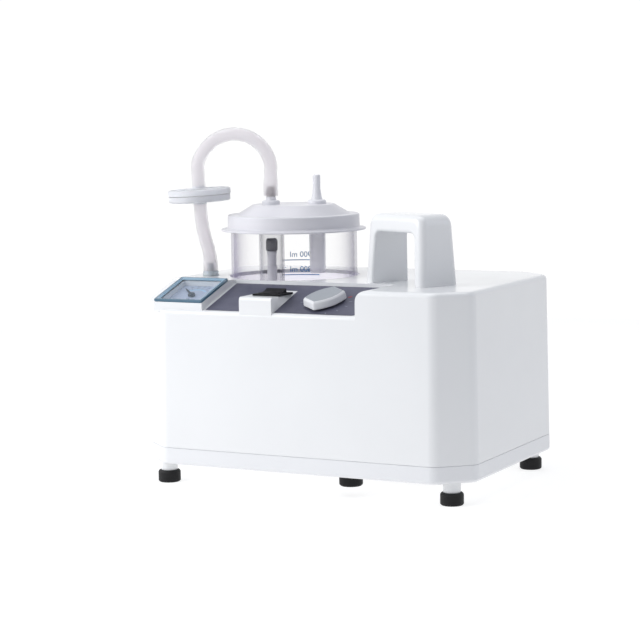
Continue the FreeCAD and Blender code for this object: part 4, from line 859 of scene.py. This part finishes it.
def printed(name, outlines, lift, to_place, material):
    """Ink that lies on a surface: closed outlines, each a thin solid."""
    bm = bmesh.new()
    for outline in outlines:
        stacked(bm, outline, [(lift, 0), (lift + 0.06, 0)], to_place)
    piece(name, bm, "housing", material, smooth=0)


def lettered(name, words, size, spot, lift, to_place):
    """Generic lettering on the dial."""
    mesh = text_mesh(name, words, size, 0.06)
    for vertex in mesh.vertices:
        vertex.co = to_place(vertex.co + Vector((*spot, lift))) * MM
    piece(name, mesh, "housing", INK, smooth=0)


def circle(radius, count, centre=(0, 0)):
    """The corners of a circle, anticlockwise."""
    turns = (2 * math.pi * i / count for i in range(count))
    return [(centre[0] + radius * math.cos(turn), centre[1] + radius * math.sin(turn)) for turn in turns]


def arc_band(inner, outer, start, end):
    """A band between two radii, from one bearing to another in degrees, anticlockwise."""
    count = int((end - start) / 4)
    turns = [math.radians(start + (end - start) * i / count) for i in range(count + 1)]
    ways = [Vector((math.cos(turn), math.sin(turn))) for turn in turns]
    return [way * outer for way in ways] + [way * inner for way in reversed(ways)]


def tick(bearing, inner, outer, width, centre=(0, 0)):
    """A short bar that points away from a centre."""
    ahead = Vector((math.cos(math.radians(bearing)), math.sin(math.radians(bearing))))
    side = Vector((-ahead.y, ahead.x)) * width / 2
    middle = Vector(centre)
    return [middle + ahead * inner - side, middle + ahead * outer - side, middle + ahead * outer + side,
            middle + ahead * inner + side]


def make_panel():
    """The dark printed film, with a rounded front corner and openings for the switch and the knob's stem."""
    low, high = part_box("control_panel_skin")
    origin = Vector((0, low.y, low.z))
    to_place = on_slope(origin)
    left, right, front = low.x / MM, high.x / MM, 0.2
    rear = (high.y - low.y) / SLOPE_ALONG.y / MM - 0.2
    stem = Vector(JOINTS["regulator_turn"]["pos_m"])
    stem_spot = (stem.x / MM, (stem - origin).dot(SLOPE_ALONG) / MM)
    switch_left, switch_right, switch_rear = SWITCH_LEFT - FILM_GAP, SWITCH_RIGHT + FILM_GAP, 41.8
    corners = [(left, front), (switch_left, front), (switch_left, switch_rear), (switch_right, switch_rear),
               (switch_right, front), (right, front), (right, rear), (left, rear)]
    outline = rounded(corners, [0.6, 0, 0.5, 0.5, 0, 6.0, 0.6, 0.6], 6, True)
    lift, thickness = 0.35, 0.33
    bm = bmesh.new()
    edges = []
    for loop in (outline, circle(3.6, 32, stem_spot)):
        corners = [bm.verts.new(to_place(Vector((*corner, lift))) * MM) for corner in loop]
        edges += [bm.edges.new((corners[i - 1], corners[i])) for i in range(len(corners))]
    bmesh.ops.triangle_fill(bm, edges=edges, use_beauty=True)
    sheet = bmesh.ops.extrude_face_region(bm, geom=list(bm.faces))
    lowered = [item for item in sheet["geom"] if isinstance(item, bmesh.types.BMVert)]
    bmesh.ops.translate(bm, verts=lowered, vec=-SLOPE_UP * thickness * MM)
    piece("panel_film", bm, "housing", FILM, ["control_panel_skin"])
    inner, short, long = 18.2, 20.6, 21.6
    marks = [tick(27 * i - 92, inner, short if i % 5 else long, 0.5, stem_spot)
             for i in range(1, 11) if i != 5]
    printed("regulator_scale", marks, lift + 0.01, to_place, PRINT)
    printed("regulator_full_mark", [tick(43, inner, 21.4, 1.8, stem_spot)], lift + 0.01, to_place, RED_MARK)


def make_gauge_frame():
    """The gauge's frame, with painted light on the slope round its window: a paler copy of the frame's blue.
    """
    low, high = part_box("gauge_bezel")
    corner = Vector(((low.x + high.x) / 2, low.y - SLOPE_UP.y * 0.002, low.z))
    half, length = (high.x - low.x) / 2 / MM, 45.0
    outline = rectangle(-half, 0, half, length, 1.6)
    to_place = on_slope(corner)
    rim = [(0.0, 0.0), (1.3, 0.0), (1.8, 0.2), (2.0, 0.7), (2.0, 1.5), (1.0, 1.7), (0.9, 3.0), (0.0, 3.0)]
    frame_piece = stack_piece("gauge_frame", outline, rim, to_place, "housing", BEZEL, "gauge_frame",
                              "gauge_bezel", caps=False)
    flat_faces(frame_piece)
    slope = [(1.95, 1.5), (1.9, 1.6), (1.15, 4.0), (0.95, 4.0), (1.0, 1.6)]
    # the slope carries the painted light, in its paler copy of the frame's blue
    slope_piece = stack_piece("gauge_frame_lit_slope", outline, slope, to_place, "housing", BEZEL_LIT_SLOPE,
                              "gauge_frame", caps=False)
    flat_faces(slope_piece)


def make_dial():
    """The gauge's card with its generic scale in kilopascals."""
    to_place = on_slope(JOINTS["gauge_needle"]["pos_m"])
    back, face = -1.4, -0.6
    card = rectangle(-16.8, -16.8, 16.8, 18.8, 0.8)
    stack_piece("gauge_card", card, [(back, 0), (face - 0.1, 0), (face, 0.1)], to_place, "housing", DIAL,
                "dial_face", "gauge_dial")
    printed("gauge_band", [arc_band(10.6, 12.4, FULL_BEARING, ZERO_BEARING)], face, to_place, DIAL_BAND)
    step = (ZERO_BEARING - FULL_BEARING) / DIAL_STEPS
    long, short = (15.4, 0.45), (14.2, 0.25)
    ticks = [tick(FULL_BEARING + step * i, 12.6, *(short if i % 2 else long)) for i in range(DIAL_STEPS + 1)]
    printed("gauge_ticks", ticks, face, to_place, INK)
    for i in range(6):
        bearing = math.radians(ZERO_BEARING - 2 * step * i)
        spot = (17.2 * math.cos(bearing), 17.2 * math.sin(bearing))
        lettered(f"gauge_number{i}", str(20 * i), 2.3, spot, face, to_place)
    lettered("gauge_unit", "kPa", 2.6, (0, -6.5), face, to_place)


def make_needle():
    """The pointer and its hub, at the dial's zero."""
    to_place = on_slope(JOINTS["gauge_needle"]["pos_m"])
    turn = Matrix.Rotation(math.radians(ZERO_BEARING), 3, "Z")
    tip, tail = 15.6, -4.4
    pointer = [(tail, -1.5), (0, -1.2), (tip, -0.3), (tip, 0.3), (0, 1.2), (tail, 1.5)]
    stack_piece("needle_pointer", pointer, [(0.0, 0), (0.45, 0), (0.6, 0.1)],
                lambda spot: to_place(turn @ spot), "needle", NEEDLE, "needle_black", "gauge_needle")
    hub = [(-0.2, 0), (0.9, 0), (1.3, 0.3), (1.5, 0.9), (1.55, 1.6)]
    stack_piece("needle_hub", circle(2.8, 40), hub, to_place, "needle", NEEDLE, "needle_black")


def make_knob():
    """A barrel-shaped bar knob with a bevelled rim and an inlaid top, turned across the panel."""
    half_length, end_half, middle_half, base, height, count = 15.0, 7.4, 12.0, 0.4, 6.6, 14
    side = [(half_length * (2 * i / count - 1),
             end_half + (middle_half - end_half) * math.sin(math.pi * i / count) ** 0.85)
            for i in range(count + 1)]
    corners = [(x, -y) for x, y in side] + side[::-1]
    radii = [2.9 if abs(x) > half_length - 0.1 else 0 for x, y in corners]
    outline = rounded(corners, radii, 4, True)
    turn = Matrix.Rotation(math.radians(58), 3, "Z")
    on_panel = on_slope(JOINTS["regulator_turn"]["pos_m"])

    def to_place(spot):
        return on_panel(turn @ spot)

    top = base + height
    levels = [(base, 0.4), (base + 0.4, 0), (base + 4.8, 0.4), (base + 5.3, 0.6), (top - 0.2, 1.7),
              (top - 0.2, 2.1)]
    knob = stack_piece("knob", outline, levels, to_place, "regulator", KNOB, "grey_knob", "regulator_knob",
                       smooth=24)
    soften(knob, 0.35, 2, 24)
    levels = [(top - 0.6, 2.1), (top - 0.12, 2.1), (top, 2.25)]
    stack_piece("knob_inlay", outline, levels, to_place, "regulator", KNOB_TOP, "grey_knob")


make_panel()
make_gauge_frame()
make_dial()
make_needle()
make_knob()


# ---------------------------------------------------------------- feet

BUMPER_TOP = 16.9                       # just under the tray's floor


def make_feet():
    """Four white legs with black rubber feet, each hollow under its screw."""
    corner = high_corner("rubber_feet")
    radius, height, top = 8.8, corner.z, high_corner("foot_legs").z - 0.02
    foot = rounded([(0, 3.2), (3.6, 3.2), (3.6, 0), (radius - 0.9, 0), (radius, 1.0), (radius, height - 1.6),
                    (radius - 0.7, height - 0.4), (radius - 1.4, height), (0, height)],
                   [0, 0.2, 0.4, 0.4, 0.5, 0.5, 0.3, 0.3, 0], 4)
    leg = [(0, height + 0.01), (6.4, height + 0.01), (6.6, height + 0.4), (6.8, top), (0, top)]
    for i, (x, y) in enumerate(((-1, -1), (1, -1), (1, 1), (-1, 1))):
        place = Vector((x * (corner.x - radius), y * (corner.y - radius))) * MM
        for name, profile, material, slot, node in (("foot", foot, RUBBER, "soft_rubber", "rubber_feet"),
                                                    ("leg", leg, WHITE, "white_tray", "foot_legs")):
            piece(f"{name}{i + 1}", turned(profile, place, 64), "housing", material,
                  [node] if i == 0 else ())


def make_bumper():
    """The rubber bumper under the front edge, with a stem that goes up into the housing."""
    low, high = low_corner("base_bumper"), high_corner("base_bumper")
    radius, shoulder, stem = (high.x - low.x) / 2, BUMPER_TOP, 4.0
    profile = rounded([(0, low.z), (radius - 1.2, low.z), (radius, low.z + 1.2), (radius, shoulder),
                       (stem, shoulder), (stem, high.z), (0, high.z)], [0, 1.0, 1.0, 0.3, 0, 0.3, 0], 4)
    piece("bumper", turned(profile, centre_of("base_bumper"), 64), "housing", RUBBER,
          ["base_bumper"])


make_feet()
make_bumper()


# ---------------------------------------------------------------- return spring


def make_spring():
    """The pump's return spring, between the armature and the rear stop. In the pump it shortens as the piston
    moves; this coil is made at one length.
    """
    low, high = low_corner("return_spring"), high_corner("return_spring")
    wire, turns, steps, sides = 0.9, 5.3, 150, 12
    middle_x, middle_z = (low.x + high.x) / 2, (low.z + high.z) / 2
    radius = (high.z - low.z) / 2 - wire
    start, end = low.y + wire, high.y - wire
    bm = bmesh.new()
    rings = []
    for i in range(steps + 1):
        angle = 2 * math.pi * turns * i / steps
        outward = Vector((math.cos(angle), 0, math.sin(angle)))
        centre = Vector((middle_x, start + (end - start) * i / steps, middle_z)) + outward * radius
        around = [outward * math.cos(turn) + Vector((0, math.sin(turn), 0))
                  for turn in (2 * math.pi * k / sides for k in range(sides))]
        rings.append([bm.verts.new((centre + way * wire) * MM) for way in around])
    for near, far in zip(rings, rings[1:]):
        joined(bm, near, far)
    bm.faces.new(rings[0][::-1])
    bm.faces.new(rings[-1])
    spring = piece("spring_coil", bm, "housing", STEEL, ["return_spring"])
    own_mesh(spring)


make_spring()


# ---------------------------------------------------------------- handle

EDGE_WIDTH, INSIDE_SHARE = 5.2, 0.42    # the outside edges' rounding, and how much of it the inside ones get


def make_handle():
    """A U-shaped slab handle, drawn in towards its top, with softer edges outside than inside."""
    low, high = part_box("carry_handle")
    middle = ((low.x + high.x) / 2, (low.y + high.y) / 2)
    base, top = low.z / MM, high.z / MM
    turn = Matrix.Rotation(math.radians(-24), 4, "Z")
    half_length, half_depth, leg, bar, draft = 33.25, 18.75, 9.3, 13.5, math.tan(math.radians(3))

    def drawn(half, height):
        return half - (height - base) * draft

    outer = rounded([(-half_length, base), (-drawn(half_length, top), top), (drawn(half_length, top), top),
                     (half_length, base)], [0, 9.0, 9.0, 0], 8)
    inner_half = half_length - leg
    under = top - bar
    inner = rounded([(inner_half, base), (drawn(inner_half, under), under),
                     (-drawn(inner_half, under), under), (-inner_half, base)], [0, 5.0, 5.0, 0], 6)
    bm = bmesh.new()
    rings = []
    for side in (-1, 1):
        ring = []
        for x, z in [*outer, *inner]:
            y = side * drawn(half_depth, z)
            ring.append(bm.verts.new(turn @ Vector((x, y, z)) * MM + Vector((*middle, 0))))
        rings.append(ring)
    bm.faces.new(rings[0])
    bm.faces.new(rings[1][::-1])
    joined(bm, *rings)
    mesh = to_mesh("handle", bm)
    count = len(outer) + len(inner)
    weights = mesh.attributes.new("bevel_weight_edge", "FLOAT", "EDGE")
    for edge in mesh.edges:
        start, end = edge.vertices
        start_outside, end_outside = (index % count < len(outer) for index in edge.vertices)
        if start // count == end // count and start_outside == end_outside:
            weights.data[edge.index].value = 1.0 if start_outside else INSIDE_SHARE
    handle = piece("handle", mesh, "housing", WHITE, ["carry_handle"], 50)
    bevel = handle.modifiers.new("soft_edges", "BEVEL")
    bevel.width, bevel.segments, bevel.limit_method = EDGE_WIDTH * MM, 5, "WEIGHT"
    flat_faces(handle)


make_handle()


# ---------------------------------------------------------------- stage

LIGHT_TARGET = (0, 0, 0.1)


def make_stage():
    """A round sheet of pale paper that glows a little, so that the ground is as white as the backdrop."""
    bm = bmesh.new()
    bmesh.ops.create_circle(bm, cap_ends=True, segments=96, radius=1.15)
    floor = bpy.data.objects.new("floor", to_mesh("floor", bm))
    bpy.context.scene.collection.objects.link(floor)
    material, tree, shader = blank_material("floor_paper")
    tinted(tree, shader, noise(tree, 0.002, 2.0), (0.35, 0.35, 0.35), 0.34 / 0.35, 0.36 / 0.35)
    glow(material, (1, 1, 1), 0.76)
    shader.inputs["Roughness"].default_value = 0.9
    shader.inputs["Specular IOR Level"].default_value = 0.1
    floor.data.materials.append(material)


def area_light(name, place, size, power, colour):
    """A square light that faces the object."""
    data = bpy.data.lights.new(name, "AREA")
    data.shape = "RECTANGLE"
    data.size, data.size_y = size, size
    data.energy = power
    data.color = colour
    light = bpy.data.objects.new(name, data)
    bpy.context.scene.collection.objects.link(light)
    light.location = place
    light.rotation_mode = "QUATERNION"
    light.rotation_quaternion = (Vector(LIGHT_TARGET) - Vector(place)).to_track_quat("-Z", "Y")


def background(tree, colour, strength):
    node = tree.nodes.new("ShaderNodeBackground")
    node.inputs["Color"].default_value = (*colour, 1)
    node.inputs["Strength"].default_value = strength
    return node.outputs[0]


def make_light():
    """Soft studio light, and a white backdrop for what is seen straight, through glass or as a reflection."""
    world = bpy.data.worlds.new("studio")
    bpy.context.scene.world = world
    world.use_nodes = True
    tree = world.node_tree
    tree.nodes.remove(tree.nodes["Background"])
    path = tree.nodes.new("ShaderNodeLightPath")
    seen = path.outputs["Is Camera Ray"]
    for ray in ("Is Transmission Ray", "Is Glossy Ray"):
        either = tree.nodes.new("ShaderNodeMath")
        either.operation = "MAXIMUM"
        tree.links.new(seen, either.inputs[0])
        tree.links.new(path.outputs[ray], either.inputs[1])
        seen = either.outputs[0]
    mix = tree.nodes.new("ShaderNodeMixShader")
    tree.links.new(seen, mix.inputs["Fac"])
    tree.links.new(background(tree, (0.85, 0.89, 1.0), 0.385), mix.inputs[1])
    tree.links.new(background(tree, (1, 1, 1), 1.05), mix.inputs[2])
    tree.links.new(mix.outputs[0], tree.nodes["World Output"].inputs["Surface"])
    area_light("key", (-0.80, -0.70, 0.62), 0.8, 9.6, (1, 1, 1))
    area_light("top", (0, 0.1, 1.9), 1.4, 12.5, (1, 1, 1))
    area_light("rear_right", (1.6, 0.8, 0.9), 1.0, 2.4, (0.84, 0.88, 1.0))
    bpy.context.scene.view_settings.view_transform = "Standard"


make_stage()
make_light()
